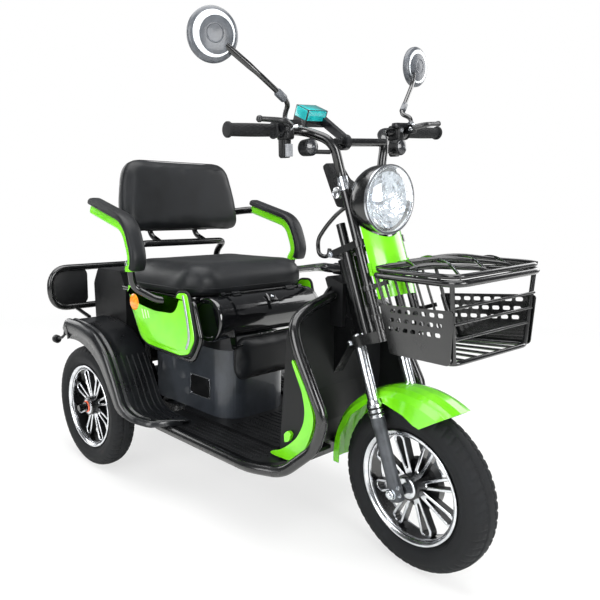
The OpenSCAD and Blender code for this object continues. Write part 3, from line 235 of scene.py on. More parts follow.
def lathe_mesh(profile, steps, axis="Y", closed=False):
    """Points and faces of a profile of (radius, place along the axis) turned round that axis."""
    angles = [math.tau * i / steps for i in range(steps)]
    order = {"X": lambda r, h, c, s: (h, r * c, r * s), "Y": lambda r, h, c, s: (r * c, h, r * s),
             "Z": lambda r, h, c, s: (r * c, r * s, h)}[axis]
    points = [order(r, h, math.cos(a), math.sin(a)) for a in angles for r, h in profile]
    n = len(profile)
    faces = [(i * n + j, i * n + (j + 1) % n, (i + 1) % steps * n + (j + 1) % n,
              (i + 1) % steps * n + j) for i in range(steps) for j in range(n if closed else n - 1)]
    return points, faces


def wheel_place(which):
    """Where a wheel stands, turned so that its own outer side points to negative Y."""
    if which == "front":
        return turned @ Matrix.Translation((wheelbase, 0, wheel_r))
    side = -1 if which == "right" else 1
    return Matrix.Translation((0, side * half_track,
                               wheel_r)) @ Matrix.Rotation(0 if side < 0 else math.pi, 4, "Z")


# Vulcanised rubber: nearly matt, a little grey with road dust, and slightly rough to the touch.
tyre_rubber = new_finish("vulcanised tyre rubber", "tyre", "#131416", 0.7, Specular_IOR_Level=0.25)
worked_surface(tyre_rubber, "#101113", "#1E2022", 60, 0.6, 0.82, 2.0, 0.25)
wheel_body = {"front": "front_wheel", "right": "rear_wheel_right", "left": "rear_wheel_left"}
side_wall = [(rim_r - 7, 24), (rim_r + 1, 26.2), (rim_r + 4, 29.5), (rim_r + 9, 33.2),
             (rim_r + 9.8, 34.4), (rim_r + 11, 34.4), (rim_r + 11.8, 35.2), (rim_r + 19.5, 38.6),
             (rim_r + 26, 39.5), (rim_r + 27, 40), (rim_r + 38, 40), (rim_r + 39, 39.4),
             (rim_r + 44, 38.4), (rim_r + 49.5, 36.4)]
crown = [(rim_r + 65 * a, 40 * b) for a, b in ((0.80, 0.87), (0.84, 0.82), (0.875, 0.76),
                                               (0.905, 0.69), (0.925, 0.635), (0.94, 0.58),
                                               (0.955, 0.51), (0.968, 0.44), (0.978, 0.37),
                                               (0.985, 0.30), (0.989, 0.25), (0.992, 0.2),
                                               (0.995, 0.15), (0.997, 0.1), (0.999, 0.05))]
half_profile = side_wall + crown
tyre_line = half_profile + [(wheel_r, 0.0)] + [(r, -y) for r, y in reversed(half_profile)]
blocks_round, steps_a_block = 54, 9
block_pitch = math.tau / blocks_round
groove_y, groove_swing, groove_deep = 9.5, 3.2, 2.6
for which in wheel_body:
    steps = blocks_round * steps_a_block
    angle = np.arange(steps)[:, None] * 2 * math.pi / steps
    radius = np.array([r for r, y in tyre_line])[None, :]
    across = np.array([y for r, y in tyre_line])[None, :]
    phase = (angle / block_pitch + 0.016 * np.abs(across) + np.where(across > 0, 0.5, 0)) % 1
    zigzag = groove_y + groove_swing * np.abs(2 * phase - 1)
    cut_across = np.clip(1.6 - np.abs(phase - 0.5) * 9, 0,
                         1) * np.clip((np.abs(across) - 11) / 3, 0, 1)
    cut_along = np.clip(2.0 - np.abs(np.abs(across) - zigzag) / 1.5, 0, 1)
    cut_edge = np.clip(1.6 - np.abs(np.abs(across) - 26.5) / 1.1, 0, 1) * 0.6
    depth = groove_deep * np.maximum(np.maximum(cut_across, cut_along),
                                     cut_edge) * np.clip((radius - rim_r - 47) / 6, 0, 1)
    radius = radius - depth
    points = np.stack([radius * np.cos(angle), across + 0 * angle, radius * np.sin(angle)],
                      -1).reshape(-1, 3)
    n = len(tyre_line)
    grid = np.arange(steps * n).reshape(steps, n)
    after = np.roll(grid, -1, 0)
    faces = np.stack([grid[:, :-1], grid[:, 1:], after[:, 1:], after[:, :-1]], -1).reshape(-1, 4)
    make_piece(f"{which}_tread_tyre", points, faces, tyre_rubber, wheel_body[which],
               wheel_place(which), sharp=32, replaces=(f"{which}_tyre",))

# ---- Wheels ----
# Cast aluminium wheels in black enamel, with the lip and the faces of the eight looped spokes
# turned bright. The front wheel is bright on both sides, and the rear ones outside only.
# Enamelled casting: a softer black than the tubes, so that the turned faces stand out.
black_cast = new_finish("black enamelled cast aluminium", "black_gloss", "#0C0D0F", 0.28,
                        Coat_Weight=0.5)
worked_surface(black_cast, "#0A0B0C", "#131416", 40, 0.24, 0.36, 1.2, 0.08)
# Turned aluminium: bright, with a fine 1 mm grain that spreads each highlight.
turned_alloy = new_finish("turned aluminium", "alloy", "#D9DCE0", 0.2, 1.0)
worked_surface(turned_alloy, "#C6C9CE", "#E6E8EB", 25, 0.16, 0.28, 1.0, 0.05)


def refinish(node, finish):
    """Gives a CAD node a better finish in its own material slots."""
    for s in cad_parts[node].material_slots:
        s.material = finish


def ring_faces(bands, n, first=0):
    """Faces of the bands between rings of n points, counted from the point that is first."""
    return [(first + i * n + j, first + i * n + (j + 1) % n, first + (i + 1) * n + (j + 1) % n,
             first + (i + 1) * n + j) for i in range(bands) for j in range(n)]


for which in wheel_body:
    refinish(f"{which}_rim", black_cast)
barrel_in = rim_r - 7.8 - 6
lip_profile = [(rim_r - 0.5, -29.5), (rim_r - 0.4, -31.3), (rim_r - 1.2, -32), (rim_r - 5.4, -32),
               (rim_r - 6.6, -31.2), (barrel_in + 3.2, -26.6), (barrel_in + 2.6, -25.2),
               (barrel_in - 0.8, -22.8), (barrel_in - 0.8, -18), (barrel_in + 1.5, -18)]
spokes, spoke_face = 8, 9.0
hub_r, spoke_tip = 31.0, barrel_in - 15


def slot_outline(x0, r0, x1, r1, k=8):
    """Outline of two round ends joined by straight sides."""
    q = math.acos((r0 - r1) / (x1 - x0))
    out = [(x1 + r1 * math.cos(a), r1 * math.sin(a))
           for a in (-q + 2 * q * i / k for i in range(k + 1))]
    return out + [(x0 + r0 * math.cos(a), r0 * math.sin(a))
                  for a in (q + (math.tau - 2 * q) * i / k for i in range(k + 1))]


loop_rings = [(slot_outline(hub_r + 2, 9.9, spoke_tip, 16.9), 0.0),
              (slot_outline(hub_r + 2, 9.0, spoke_tip, 16.0), 1.3),
              (slot_outline(hub_r + 15, 5.0, spoke_tip - 1, 11.0), 1.5),
              (slot_outline(hub_r + 16, 3.6, spoke_tip - 1, 9.7), 0.0)]
for which in wheel_body:
    place = wheel_place(which)
    for side in ((-1, 1) if which == "front" else (-1,)):
        points, faces = [], []
        for i in range(spokes):
            turn = math.radians(360 / spokes * (i + 0.5))
            first = len(points)
            for outline, lift in loop_rings:
                points += [(x * math.cos(turn) - y * math.sin(turn), side * (spoke_face + lift),
                            x * math.sin(turn) + y * math.cos(turn)) for x, y in outline]
            n = len(loop_rings[0][0])
            faces += [f[::side] for f in ring_faces(len(loop_rings) - 1, n, first)]
        tag = "outer" if side < 0 else "inner"
        make_piece(f"{which}_spoke_loops_{tag}", points, faces, turned_alloy, wheel_body[which],
                   place, sharp=20)
        lip = lathe_mesh([(r, -side * y) for r, y in lip_profile], 128)
        make_piece(f"{which}_bright_lip_{tag}", *lip, turned_alloy, wheel_body[which], place,
                   sharp=30)
    hub_ring = lathe_mesh([(11, -29.2), (11, -33), (18, -34), (24, -32.5), (26, -31), (26, -29.2)],
                          64)
    make_piece(f"{which}_hub_ring", *hub_ring, turned_alloy, wheel_body[which], place, sharp=30)

# ---- Chassis and edge tubes ----
# Welded steel box rails under the floor with the steering head in front, and two bent round tubes
# that run along the floor's sides and up around the leg shield. Black enamel, sprayed and baked.


def swept(line, section, closed=False, side=None, sizes=None):
    """Points and faces of a cross-section carried along a line, without twist or square to a fixed side."""
    p = [Vector(q) for q in line]
    n, m = len(p), len(section)
    points, carried = [], None
    for i in range(n):
        before, after = (p[i - 1],
                         p[(i + 1) % n]) if closed else (p[max(i - 1, 0)], p[min(i + 1, n - 1)])
        along = (after - before).normalized()
        if side is not None:
            across = Vector(side)
        else:
            seed = carried or (Vector((0, 0, 1)) if abs(along.z) < 0.8 else Vector((0, 1, 0)))
            across = (seed - along * seed.dot(along)).normalized()
            carried = across
        lift = along.cross(across)
        size = sizes[i] if sizes else 1.0
        points += [p[i] + (across * a + lift * b) * size for a, b in section]
    faces = [(i * m + j, (i + 1) % n * m + j, (i + 1) % n * m + (j + 1) % m, i * m + (j + 1) % m)
             for i in range(n if closed else n - 1) for j in range(m)]
    if not closed:
        faces += [tuple(range(m - 1, -1, -1)), tuple(range((n - 1) * m, n * m))]
    return points, faces


def circle(r, sides=20):
    """A round cross-section."""
    return [(r * math.cos(math.tau * i / sides), r * math.sin(math.tau * i / sides))
            for i in range(sides)]


def mirrored(line):
    """The same points on the other side of the vehicle."""
    return [Vector((q[0], -q[1], q[2])) for q in line]


def joined(*parts):
    """Several sets of points and faces as one."""
    points, faces = [], []
    for more_points, more_faces in parts:
        faces += [tuple(i + len(points) for i in f) for f in more_faces]
        points += list(more_points)
    return points, faces


def swept_pair(line, section, **settings):
    """A swept shape on the right side, and its twin on the left."""
    return joined(swept(line, section, **settings), swept(mirrored(line), section, **settings))


# Baked enamel over steel: deep black and glossy, with a faint orange peel of 3 mm.
enamel = new_finish("baked black enamel", "black_paint", "#08090A", 0.22, Coat_Weight=0.5,
                    Coat_Roughness=0.08)
worked_surface(enamel, "#060708", "#0C0D0E", 45, 0.16, 0.3, 3.0, 0.06)

refinish("main_frame", enamel)
floor_z, floor_t, edge_y = 222.0, 10.0, 266.3
edge_line = rounded_line([(335, -edge_y, floor_z - 4), (730, -edge_y, floor_z - 4),
                          (818, -edge_y + 30, floor_z + 2), (893, -205, 300), (916, -205, 378),
                          (830, -205, 532), (806, -196, 584), (802, -150, 612), (801.3, -44, 640)],
                         30, 8)
make_piece("floor_edge_tubes", *swept_pair(edge_line, circle(14, 24)),
           enamel, "frame", replaces=("floor_rails",))

# ---- Floor and leg shield ----
# Injection-moulded black ABS with a fine spark-eroded grain. The foot mat and both side steps
# carry raised ribs against slipping.
# Grained ABS: dark and quiet, with a broad dull sheen.
moulded_abs = new_finish("grained black ABS", "black_plastic", "#0E0F10", 0.45,
                         Specular_IOR_Level=0.3)
worked_surface(moulded_abs, "#0C0D0E", "#141517", 70, 0.38, 0.52, 1.3, 0.10)
for name in ("floor_pan", "leg_shield", "rear_cover"):
    refinish(name, moulded_abs)


def box_mesh(low, high):
    """Points and faces of a block between two corners."""
    points = [(x, y, z) for x in (low[0], high[0]) for y in (low[1], high[1])
              for z in (low[2], high[2])]
    return points, [(0, 1, 3, 2), (4, 6, 7, 5), (0, 4, 5, 1), (2, 3, 7, 6), (0, 2, 6, 4),
                    (1, 5, 7, 3)]


ribs = []
mat_top = floor_z + floor_t + 8
for i in range(-7, 8):
    ribs.append(box_mesh((524, i * 19 - 4, mat_top - 0.5), (700, i * 19 + 4, mat_top + 2.4)))
for side in (-1, 1):
    for i in range(5):
        y = side * (168 + i * 18)
        ribs.append(box_mesh((432, y - 3.4, floor_z + floor_t - 0.5),
                             (742 - i * i * 1.6, y + 3.4, floor_z + floor_t + 2.4)))
make_piece("floor_ribs", *joined(*ribs), moulded_abs, "frame", bevel=0.9)

# ---- Battery box ----
# A folded sheet-steel box between floor and seat, in gunmetal enamel, with a blank anodised
# nameplate in a thin bright border, held by four rivets.
# Gunmetal enamel: a dark bluish grey between the black parts and the metal.
gunmetal = new_finish("gunmetal enamel", "gunmetal", "#353940", 0.36, 0.2, Coat_Weight=0.3)
worked_surface(gunmetal, "#2F3339", "#3E434A", 60, 0.3, 0.42, 1.0, 0.06)
refinish("battery_box", gunmetal)
# Anodised plate: flat black with a faint metal sheen.
anodised = new_finish("black anodised plate", "black_gloss", "#0B0C0E", 0.3, 0.2)
worked_surface(anodised, "#090A0B", "#111214", 20, 0.26, 0.4, 1.0, 0.03)
make_piece("nameplate", *box_mesh((317, -131.2, 287), (415, -129.4, 353)), anodised, "frame",
           bevel=0.6)
# Polished zinc plate on small steel parts: bright, a little hazy.
zinc = new_finish("bright zinc plate", "chrome", "#C9CDD2", 0.2, 1.0)
worked_surface(zinc, "#B4B9BF", "#DDE0E4", 12, 0.14, 0.3, 1.0, 0.03)

plate_edge = [(x, -131.4, z) for x, z in ((318.5, 288.5), (413.5, 288.5), (413.5, 351.5),
                                          (318.5, 351.5))]
make_piece("nameplate_border", *swept(plate_edge, circle(0.8, 8), closed=True), zinc, "frame")


def moved(mesh, move):
    """Points and faces carried along by a matrix."""
    return [move @ Vector(q) for q in mesh[0]], mesh[1]


def placed_at(mesh, x, y, z, turn=None):
    """Points and faces turned about the origin and then carried to a place."""
    return moved(mesh, Matrix.Translation((x, y, z)) @ (turn.to_matrix().to_4x4() if turn
                                                        else Matrix.Identity(4)))


rivet = lathe_mesh([(0, -1.6), (1.6, -1.3), (2.6, 0), (2.6, 1)], 16)
make_piece("nameplate_rivets",
           *joined(*[placed_at(rivet, x, -131.2, z) for x in (322, 410) for z in (292, 348)]),
           zinc, "frame")

# ---- Side panels and shield trims ----
# Glossy lime ABS covers under the seat's sides, with a black rubber edge, a round amber
# reflector and three pale stripes. A lime crescent with a clip lies on each side of the shield.
# Lime ABS: the one strong colour, polished, with clean reflections.
lime_abs = new_finish("glossy lime ABS", "green_paint", "#74DB12", 0.2, Coat_Weight=0.6,
                      Coat_Roughness=0.05)
worked_surface(lime_abs, "#68CF0C", "#7FE31B", 90, 0.16, 0.26, 4.0, 0.05)
for name in ("cowl", "front_fender"):
    refinish(name, lime_abs)


def slab(outline, low, high):
    """Points and faces of an outline in length and height, given a thickness across the vehicle."""
    n = len(outline)
    points = [(x, low, z) for x, z in outline] + [(x, high, z) for x, z in outline]
    return points, [tuple(range(n)), tuple(range(2 * n - 1, n - 1, -1))] + [
        (j, n + j, n + (j + 1) % n, (j + 1) % n) for j in range(n)]


def flat_line(corners, reach, steps=5):
    """A closed rounded outline of (length, height) pairs."""
    return [(q.x, q.z) for q in rounded_line([(x, 0, z) for x, z in corners], reach, steps,
                                             closed=True)]


def inset(outline, d):
    """The outline drawn in by d, for a smooth closed outline."""
    out, n = [], len(outline)
    area = sum(outline[i - 1][0] * outline[i][1] - outline[i][0] * outline[i - 1][1]
               for i in range(n))
    for i in range(n):
        a, b = Vector(outline[i - 1]), Vector(outline[(i + 1) % n])
        t = (b - a).normalized()
        inward = Vector((-t.y, t.x)) * (1 if area > 0 else -1)
        out.append(tuple(Vector(outline[i]) + inward * d))
    return out


trim_in, trim_out = 190.3, 198.0
crescent = flat_line([(742, 238), (806, 240), (846, 268), (868, 312), (880, 352), (878, 380),
                      (856, 430), (812, 498), (804, 496), (842, 424), (852, 380), (848, 346),
                      (828, 306), (796, 276), (768, 256), (738, 246)], 16, 5)
clip = flat_line([(790, 284), (806, 292), (812, 312), (800, 318), (788, 306)], 5, 3)
make_piece("shield_crescents",
           *joined(*[slab(line, side * low, side * high) for side in (-1, 1) for line, low,
                     high in ((crescent, trim_in, trim_out), (clip, trim_in, trim_out + 3))]),
           lime_abs, "frame", bevel=1.2, replaces=("shield_trims",))
panel_corners = [(163, 629), (238, 593), (318, 583), (405, 586), (424, 627), (468, 629),
                 (494, 533), (500, 503), (475, 459), (434, 448), (271, 455), (233, 471), (185, 554)]
panel_outline = flat_line(panel_corners, 14)
panel_levels = [(0, -253.3), (0, -254.5), (1.2, -256.6), (3.2, -257.4), (8, -258), (13, -258.6),
                (16, -260.0), (20, -260.4)]
points, faces = [], []
for inward, level_y in panel_levels:
    points += [(x, level_y, z) for x,
               z in (inset(panel_outline, inward) if inward else panel_outline)]
n = len(panel_outline)
points += [(x, -245.3, z) for x, z in panel_outline]
back_ring = len(panel_levels) * n
faces += ring_faces(len(panel_levels) - 1, n)
faces += [(back_ring + j, back_ring + (j + 1) % n, (j + 1) % n, j) for j in range(n)]
faces += [tuple(range(back_ring - n, back_ring)),
          tuple(range(back_ring + n - 1, back_ring - 1, -1))]
make_piece("side_covers", *joined((points, faces), (mirrored(points), [f[::-1] for f in faces])),
           lime_abs, "frame", replaces=("side_panels",))
# EPDM rubber edging: soft black, barely glossy.
edging_rubber = new_finish("extruded black rubber", "rubber", "#0E0F10", 0.55,
                           Specular_IOR_Level=0.25)
worked_surface(edging_rubber, "#0F1011", "#18191A", 30, 0.5, 0.62, 1.4, 0.08)
edge = [(x, -251.0, z) for x, z in inset(panel_outline, -2.6)]
make_piece("side_cover_edging", *swept_pair(edge, circle(4.2, 10), closed=True), edging_rubber,
           "frame")
# Clear amber acrylic over a prismatic back: deep orange, with a honeycomb of about 3 mm inside, and a faint
# painted glow, though the reflector is no lamp.
amber = new_finish("moulded amber acrylic with painted glow", "amber_lens", "#F08A12", 0.14, Coat_Weight=0.6,
                   Emission_Strength=0.12)
worked_surface(amber, "#D96A06", "#FFAE2E", 6, 0.1, 0.22, 3.2, 0.35, cells=True)
# The colour of the reflector's painted glow.
amber.node_tree.nodes["Principled BSDF"].inputs["Emission Color"].default_value = linear("#E87A10")
dish = lathe_mesh([(0, -6.2), (18, -5.6), (25, -4.2), (27.5, -1.5), (28, 2)], 40)
make_piece("side_reflectors", *joined(placed_at(dish, 205, -256.5, 577),
                                      placed_at((mirrored(dish[0]), dish[1]), 205, 256.5, 577)),
           amber, "frame")
# Printed film: pale green, flatter than the cover under it.
pale_film = new_finish("pale printed film", "green_paint", "#D9F5B8", 0.3, Coat_Weight=0.4)
worked_surface(pale_film, "#CDEFA8", "#E4FAC9", 25, 0.25, 0.36, 1.0, 0.02)
stripes = []
for k in range(3):
    x = 246 + 15 * k
    outline = [(x, 560), (x + 5, 560), (x + 15 - k, 532 + 3 * k), (x + 11 - k, 532 + 3 * k)]
    for side in (-1, 1):
        stripes.append(slab(outline, side * 260.3, side * 260.8))
make_piece("side_cover_stripes", *joined(*stripes), pale_film, "frame")
# The line of the painted highlight down each cover's front edge.
painted_highlight_line = [(452, -258, 622), (462, -260, 600), (474, -261, 560), (482, -261, 520),
               (480, -260, 498), (466, -259, 474)]
painted_highlight_line = rounded_line(painted_highlight_line, 12, 4)
# Painted highlight: a strip of silver paint that stands in for the soft line of light down the cover's front
# edge.
painted_edge_highlight = new_finish("painted edge highlight", "alloy", "#AEB3B8", 0.3, 0.7)
worked_surface(painted_edge_highlight, "#9EA3A8", "#BFC4C9", 15, 0.26, 0.38, 1.0, 0.03)
make_piece("side_cover_painted_highlights",
           *swept_pair(painted_highlight_line, [(1.6 * a, 4.6 * b) for a, b in circle(1, 12)],
                       side=(0, 1, 0)), painted_edge_highlight, "frame")

# ---- Seat and backrest ----
# Foam cushions under black artificial leather, sewn along a low seam and stretched round a
# steel pan. The cloth is inflated a little from its cut size, as the foam does.


def capped(rings, n):
    """Faces of a row of rings of n points, closed at both ends."""
    return ring_faces(rings - 1, n) + [tuple(range(n - 1, -1, -1)),
                                       tuple(range((rings - 1) * n, rings * n))]


def rounded_block(low, high, corner, top_edge, low_edge, steps=7):
    """A block with round upright corners, and rounded top and bottom edges."""
    levels = [(low[2] + low_edge * (1 - math.cos(math.pi / 2 * i / steps)),
               low_edge * (1 - math.sin(math.pi / 2 * i / steps))) for i in range(steps + 1)]
    levels += [(high[2] - top_edge * (1 - math.sin(math.pi / 2 * i / steps)),
                top_edge * (1 - math.cos(math.pi / 2 * i / steps))) for i in range(steps + 1)]
    points = []
    for z, inward in levels:
        r = max(corner - inward, 4)
        for cx, cy, start in ((high[0] - corner, high[1] - corner, 0),
                              (low[0] + corner, high[1] - corner, 90),
                              (low[0] + corner, low[1] + corner, 180),
                              (high[0] - corner, low[1] + corner, 270)):
            for k in range(9):
                a = math.radians(start + 90 * k / 8)
                points.append((cx + r * math.cos(a), cy + r * math.sin(a), z))
    return points, capped(len(levels), len(points) // len(levels))


def stuffed(piece, voxel_mm, most_mm, still, tauten=14):
    """Inflates a closed cover as foam fills it. still says which points stay on what they rest on."""
    skin = piece.modifiers.new("skin", "REMESH")
    skin.mode = "VOXEL"
    skin.voxel_size = voxel_mm / 1000
    cover = bpy.data.meshes.new_from_object(piece.evaluated_get(bpy.context.evaluated_depsgraph_get()))
    finish = piece.data.materials[0]
    piece.modifiers.clear()
    piece.data = cover
    cover.materials.clear()
    cover.materials.append(finish)
    before = np.empty(len(cover.vertices) * 3)
    cover.vertices.foreach_get("co", before)
    before = before.reshape(-1, 3)
    held = piece.vertex_groups.new(name="held")
    held.add([int(i) for i in np.nonzero(still(before))[0]], 1.0, "REPLACE")
    cloth = piece.modifiers.new("cover", "CLOTH")
    cloth.settings.vertex_group_mass = "held"
    cloth.settings.use_pressure = True
    cloth.settings.uniform_pressure_force = 4
    cloth.settings.tension_stiffness = cloth.settings.compression_stiffness = 12
    cloth.settings.effector_weights.gravity = 0
    for step in range(1, 21):
        bpy.context.scene.frame_set(step)
    swollen = piece.evaluated_get(bpy.context.evaluated_depsgraph_get()).to_mesh()
    after = np.empty(len(cover.vertices) * 3)
    swollen.vertices.foreach_get("co", after)
    move = after.reshape(-1, 3) - before
    length = np.linalg.norm(move, axis=1, keepdims=True)
    move *= np.minimum(1, most_mm / 1000 / np.maximum(length, 1e-9))
    piece.modifiers.clear()
    piece.vertex_groups.clear()
    cover.vertices.foreach_set("co", (before + move).ravel())
    bpy.context.scene.frame_set(1)
    cover.shade_smooth()
    taut = piece.modifiers.new("taut", "SMOOTH")
    taut.factor, taut.iterations = 0.5, tauten
    piece.modifiers.new("smooth", "SUBSURF").levels = 1
    piece.modifiers["smooth"].render_levels = 1
    return piece


def seam(name, piece, line, r, finish, body, closed=True):
    """A sewn seam: a thin cord of folded cover laid along the surface of a padded piece."""
    on_cover = []
    for q in line:
        found = piece.closest_point_on_mesh(to_frame @ Vector(q))
        on_cover.append(to_frame.inverted() @ (found[1] + found[2] * 0.0002))
    return make_piece(name, *swept(on_cover, circle(r, 8), closed=closed), finish, body)


# Polyurethane-coated cloth: charcoal, with a pebbled grain of 1.6 mm and a soft even sheen.
leather = new_finish("grained artificial leather", "black_leather", "#0B0D10", 0.42,
                     Sheen_Weight=0.03, Specular_IOR_Level=0.3)
worked_surface(leather, "#090B0D", "#101317", 120, 0.36, 0.5, 1.6, 0.16, cells=True)
seat_z = 612.0
seat = make_piece("seat_pad", *rounded_block((90, -242, seat_z + 1), (486, 242, seat_z + 83), 84,
                                             44, 24), leather, "frame", replaces=("seat_cushion",))
stuffed(seat, 6.0, 9, lambda co: co[:, 2] < (seat_z + 4) / 1000, 40)
seam_line = [(x, y, seat_z + 22) for x, y,
             z in rounded_block((84, -248, 0), (490, 248, 9), 84, 1, 1, 1)[0][:36]]
seam("seat_seam", seat, rounded_line(seam_line, 6, 2, closed=True), 1.5, leather, "frame")
at_back = Matrix.Translation((112, 0, 786)) @ Matrix.Rotation(math.radians(-9), 4, "Y")
back_place = at_back @ Matrix.Rotation(math.pi / 2, 4, "Y")
back_outline = flat_line([(3, -246), (3, 246), (-64, 248), (-120, 242), (-237, 216), (-237, -216),
                          (-120, -242), (-64, -248)], 64, 9)
back_levels = [(-27, 22), (-26, 14), (-22, 7), (-15, 2), (-6, 0), (6, 0), (15, 2), (22, 7),
               (26, 14), (27, 22)]
points = [(x, y, depth) for depth, inward in back_levels for x,
          y in (inset(back_outline, inward) if inward else back_outline)]
faces = capped(len(back_levels), len(back_outline))
backrest = make_piece("back_pad", points, faces, leather, "frame", back_place,
                      replaces=("back_cushion",))
stuffed(backrest, 6.0, 8, lambda co: co[:, 0] < -9, 18)
back_line = [back_place @ Vector((x, y, 12)) for x, y in back_outline]
seam("back_seam", backrest, back_line, 1.2, leather, "frame")

# ---- Seat frame and armrests ----
# Bent steel tubes in black enamel carry the seat pan, the backrest and the arms. Each arm tube
# wears a lime ABS cover, with a foam pad in black artificial leather on top.
seat_tubes = [rounded_block((54, -225, seat_z - 12), (440, 225, seat_z), 30, 3, 3, 2)]
arm_y = 333.0
for side in (-1, 1):
    seat_tubes.append(swept(rounded_line([(309, side * arm_y, 692), (309, side * arm_y, 676),
                                          (303, side * 322, 636), (345, side * 268, 598),
                                          (400, side * 200, 598)], 22, 8), circle(11)))
    seat_tubes.append(swept(rounded_line([(440, side * 212, 600), (474, side * 237, 600),
                                          (508, side * 237, 500), (472, side * 237, 438),
                                          (262, side * 237, 446), (170, side * 150, 462),
                                          (113.3, side * 150, 462)], 18, 7), circle(8)))
    seat_tubes.append(swept(rounded_line([(118, side * 95, 748), (62, side * 95, 770),
                                          (26.5, side * 95, 834)], 14, 5), circle(9)))
seat_tubes.append(swept(rounded_line([(68, -186, 606), (68, -184, 706), (118, -178, 748),
                                      (118, 178, 748), (68, 184, 706), (68, 186, 606)], 26, 8),
                        circle(11, 22)))
seat_tubes.append(swept(rounded_line([(303, 324, 652), (342, 326, 650), (536, 208, 678),
                                      (713, 26, 701.2), (745, 0, 703.2), (770.8, 0, 703.2)], 24,
                                     7), circle(12, 22)))
make_piece("seat_tubes", *joined(*seat_tubes), enamel, "frame", replaces=("seat_frame",))
make_piece("backrest_plate", *box_mesh((-35.3, -130, 6), (-31.3, 130, 106)), enamel, "frame",
           at_back, bevel=1.5)
arm_corners = [(309, 693), (329, 718), (294, 806), (110, 858)]
arm_rear = (22, 846)


def arm_line(side, last=1.0):
    """Middle line of one arm's tube from its foot to the rear bend, in the vehicle's millimetres."""
    ends = [Vector((x, side * arm_y, z)) for x, z in [(309, 683)] + arm_corners]
    ends[-1] = ends[-2].lerp(ends[-1], last)
    return rounded_line(ends, 36, 9)


rear_line = rounded_line([(150, -arm_y, 846.7), (110, -arm_y, 858),
                          (arm_rear[0], -arm_y + 60, arm_rear[1]),
                          (arm_rear[0], arm_y - 60, arm_rear[1]), (110, arm_y, 858),
                          (150, arm_y, 846.7)], 40, 9)
make_piece("arm_rear_tube", *swept(rear_line, circle(13, 24)), enamel, "frame",
           replaces=("arm_tubes",))


def blunt(share, power):
    """A sine or cosine pushed outwards, which squares a round cross-section."""
    return math.copysign(abs(share) ** power, share)


cover_section = [(15.5 * blunt(a, 0.55), 14 * blunt(b, 0.55)) for a, b in circle(1, 32)]
make_piece("arm_covers",
           *joined(*[swept(arm_line(side), cover_section, side=(0, 1, 0)) for side in (-1, 1)]),
           lime_abs, "frame", sharp=50)
pad_sides = 36
pad_section = [(25.5 * blunt(a, 0.7), 22.5 + (13 if b > 0 else 10) * blunt(b, 0.75)) for a,
               b in circle(1, pad_sides)]
for side, tag in ((-1, "right"), (1, "left")):
    line = arm_line(side, 0.99)
    line = line[int(len(line) * 0.36):]
    line = [line[0] + (line[0] - line[1]).normalized() * d for d in (3, 1.5)] + line
    line = line + [line[-1] + (line[-1] - line[-2]).normalized() * d for d in (4, 8, 10)]
    points, faces = swept(line, [(a, -b) for a, b in pad_section], side=(0, 1, 0))
    for ring, size in ((0, 0.72), (1, 0.9), (len(line) - 1, 0.7), (len(line) - 2, 0.9)):
        own = slice(ring * pad_sides, (ring + 1) * pad_sides)
        middle = sum(points[own], Vector()) / pad_sides
        points[own] = [middle + (q - middle) * size for q in points[own]]
    pad = make_piece(f"{tag}_arm_pad", points, faces, leather, "frame",
                     replaces=("arm_pads",) if side < 0 else ())

# Zinc-plated hexagon bolts with a pressed washer under the head.


def hex_bolt(r, height, washer=1.45):
    """A hexagon head on its washer, along Z from 0."""
    head = [(r * math.cos(math.radians(60 * k)), r * math.sin(math.radians(60 * k)))
            for k in range(6)]
    points = [(x, y, 1.2) for x, y in head] + [(x, y, height - 1) for x,
                                               y in head] + [(x * 0.86, y * 0.86, height) for x,
                                                             y in head]
    faces = [tuple(range(5, -1, -1)), tuple(range(12, 18))] + ring_faces(2, 6)
    return joined((points, faces),
                  lathe_mesh([(0, 0), (r * washer, 0), (r * washer, 1.2), (0, 1.2)], 24, "Z"))


def turned_to(direction):
    """The turn that lays Z along a direction."""
    return Vector(direction).to_track_quat("Z", "Y")


bolts = [placed_at(hex_bolt(6.5, 6), 312, side * 347, 706, turned_to((0, side, 0)))
         for side in (-1, 1)]
make_piece("arm_bolts", *joined(*bolts), zinc, "frame")

# ---- Storage drum and front pad ----
# A glossy black ABS drum under the seat with a hinged lid and a sprung latch, and a padded
# leather panel hung from its front by two ears.
# Polished ABS: the glossiest black, with sharp reflections.
gloss_abs = new_finish("polished black ABS", "black_gloss", "#08090A", 0.12, Coat_Weight=0.9,
                       Coat_Roughness=0.04)
worked_surface(gloss_abs, "#060708", "#0D0E10", 60, 0.09, 0.18, 6.0, 0.08)
store_x, store_z, store_r = 490.0, 553.0, 62.0
for name in ("storage_drum", "storage_lid"):
    refinish(name, gloss_abs)
end_ring = [(store_r - 13, -201.5), (store_r - 11, -203.5), (store_r - 5, -204.5),
            (store_r - 0.5, -203), (store_r + 1.6, -199), (store_r + 1.6, -192),
            (store_r - 0.2, -191)]
rings = [placed_at(lathe_mesh([(r, side * -y) for r, y in end_ring], 72), store_x, 0, store_z)
         for side in (-1, 1)]
make_piece("drum_end_rings", *joined(*rings), gloss_abs, "frame", sharp=30)
latch = rounded_block((0, -17, 0), (9, 17, 26), 5, 3, 3, 3)
latch_place = Matrix.Translation((store_x, 0,
                                  store_z)) @ Matrix.Rotation(math.radians(-46), 4,
                                                              "Y") @ Matrix.Translation((store_r
                                                                                         + 4, 0, -13))
make_piece("drum_latch", *latch, gloss_abs, "storage_lid", latch_place)
make_piece("drum_latch_key", *placed_at(lathe_mesh([(0, 3), (3.2, 3), (4.6, 2), (5, 0)], 24, "Z"),
                                        9, 0, 13, turned_to((1, 0, 0))), zinc, "storage_lid",
           latch_place)
pad_place = Matrix.Translation((518, 0, 370)) @ Matrix.Rotation(math.pi / 2, 4, "Y")
front_pad = make_piece("front_cover_pad", *rounded_block((-127, -137, 3), (-3, 137, 33), 34, 15,
                                                         8), leather, "front_pad", pad_place,
                       replaces=("front_pad",))
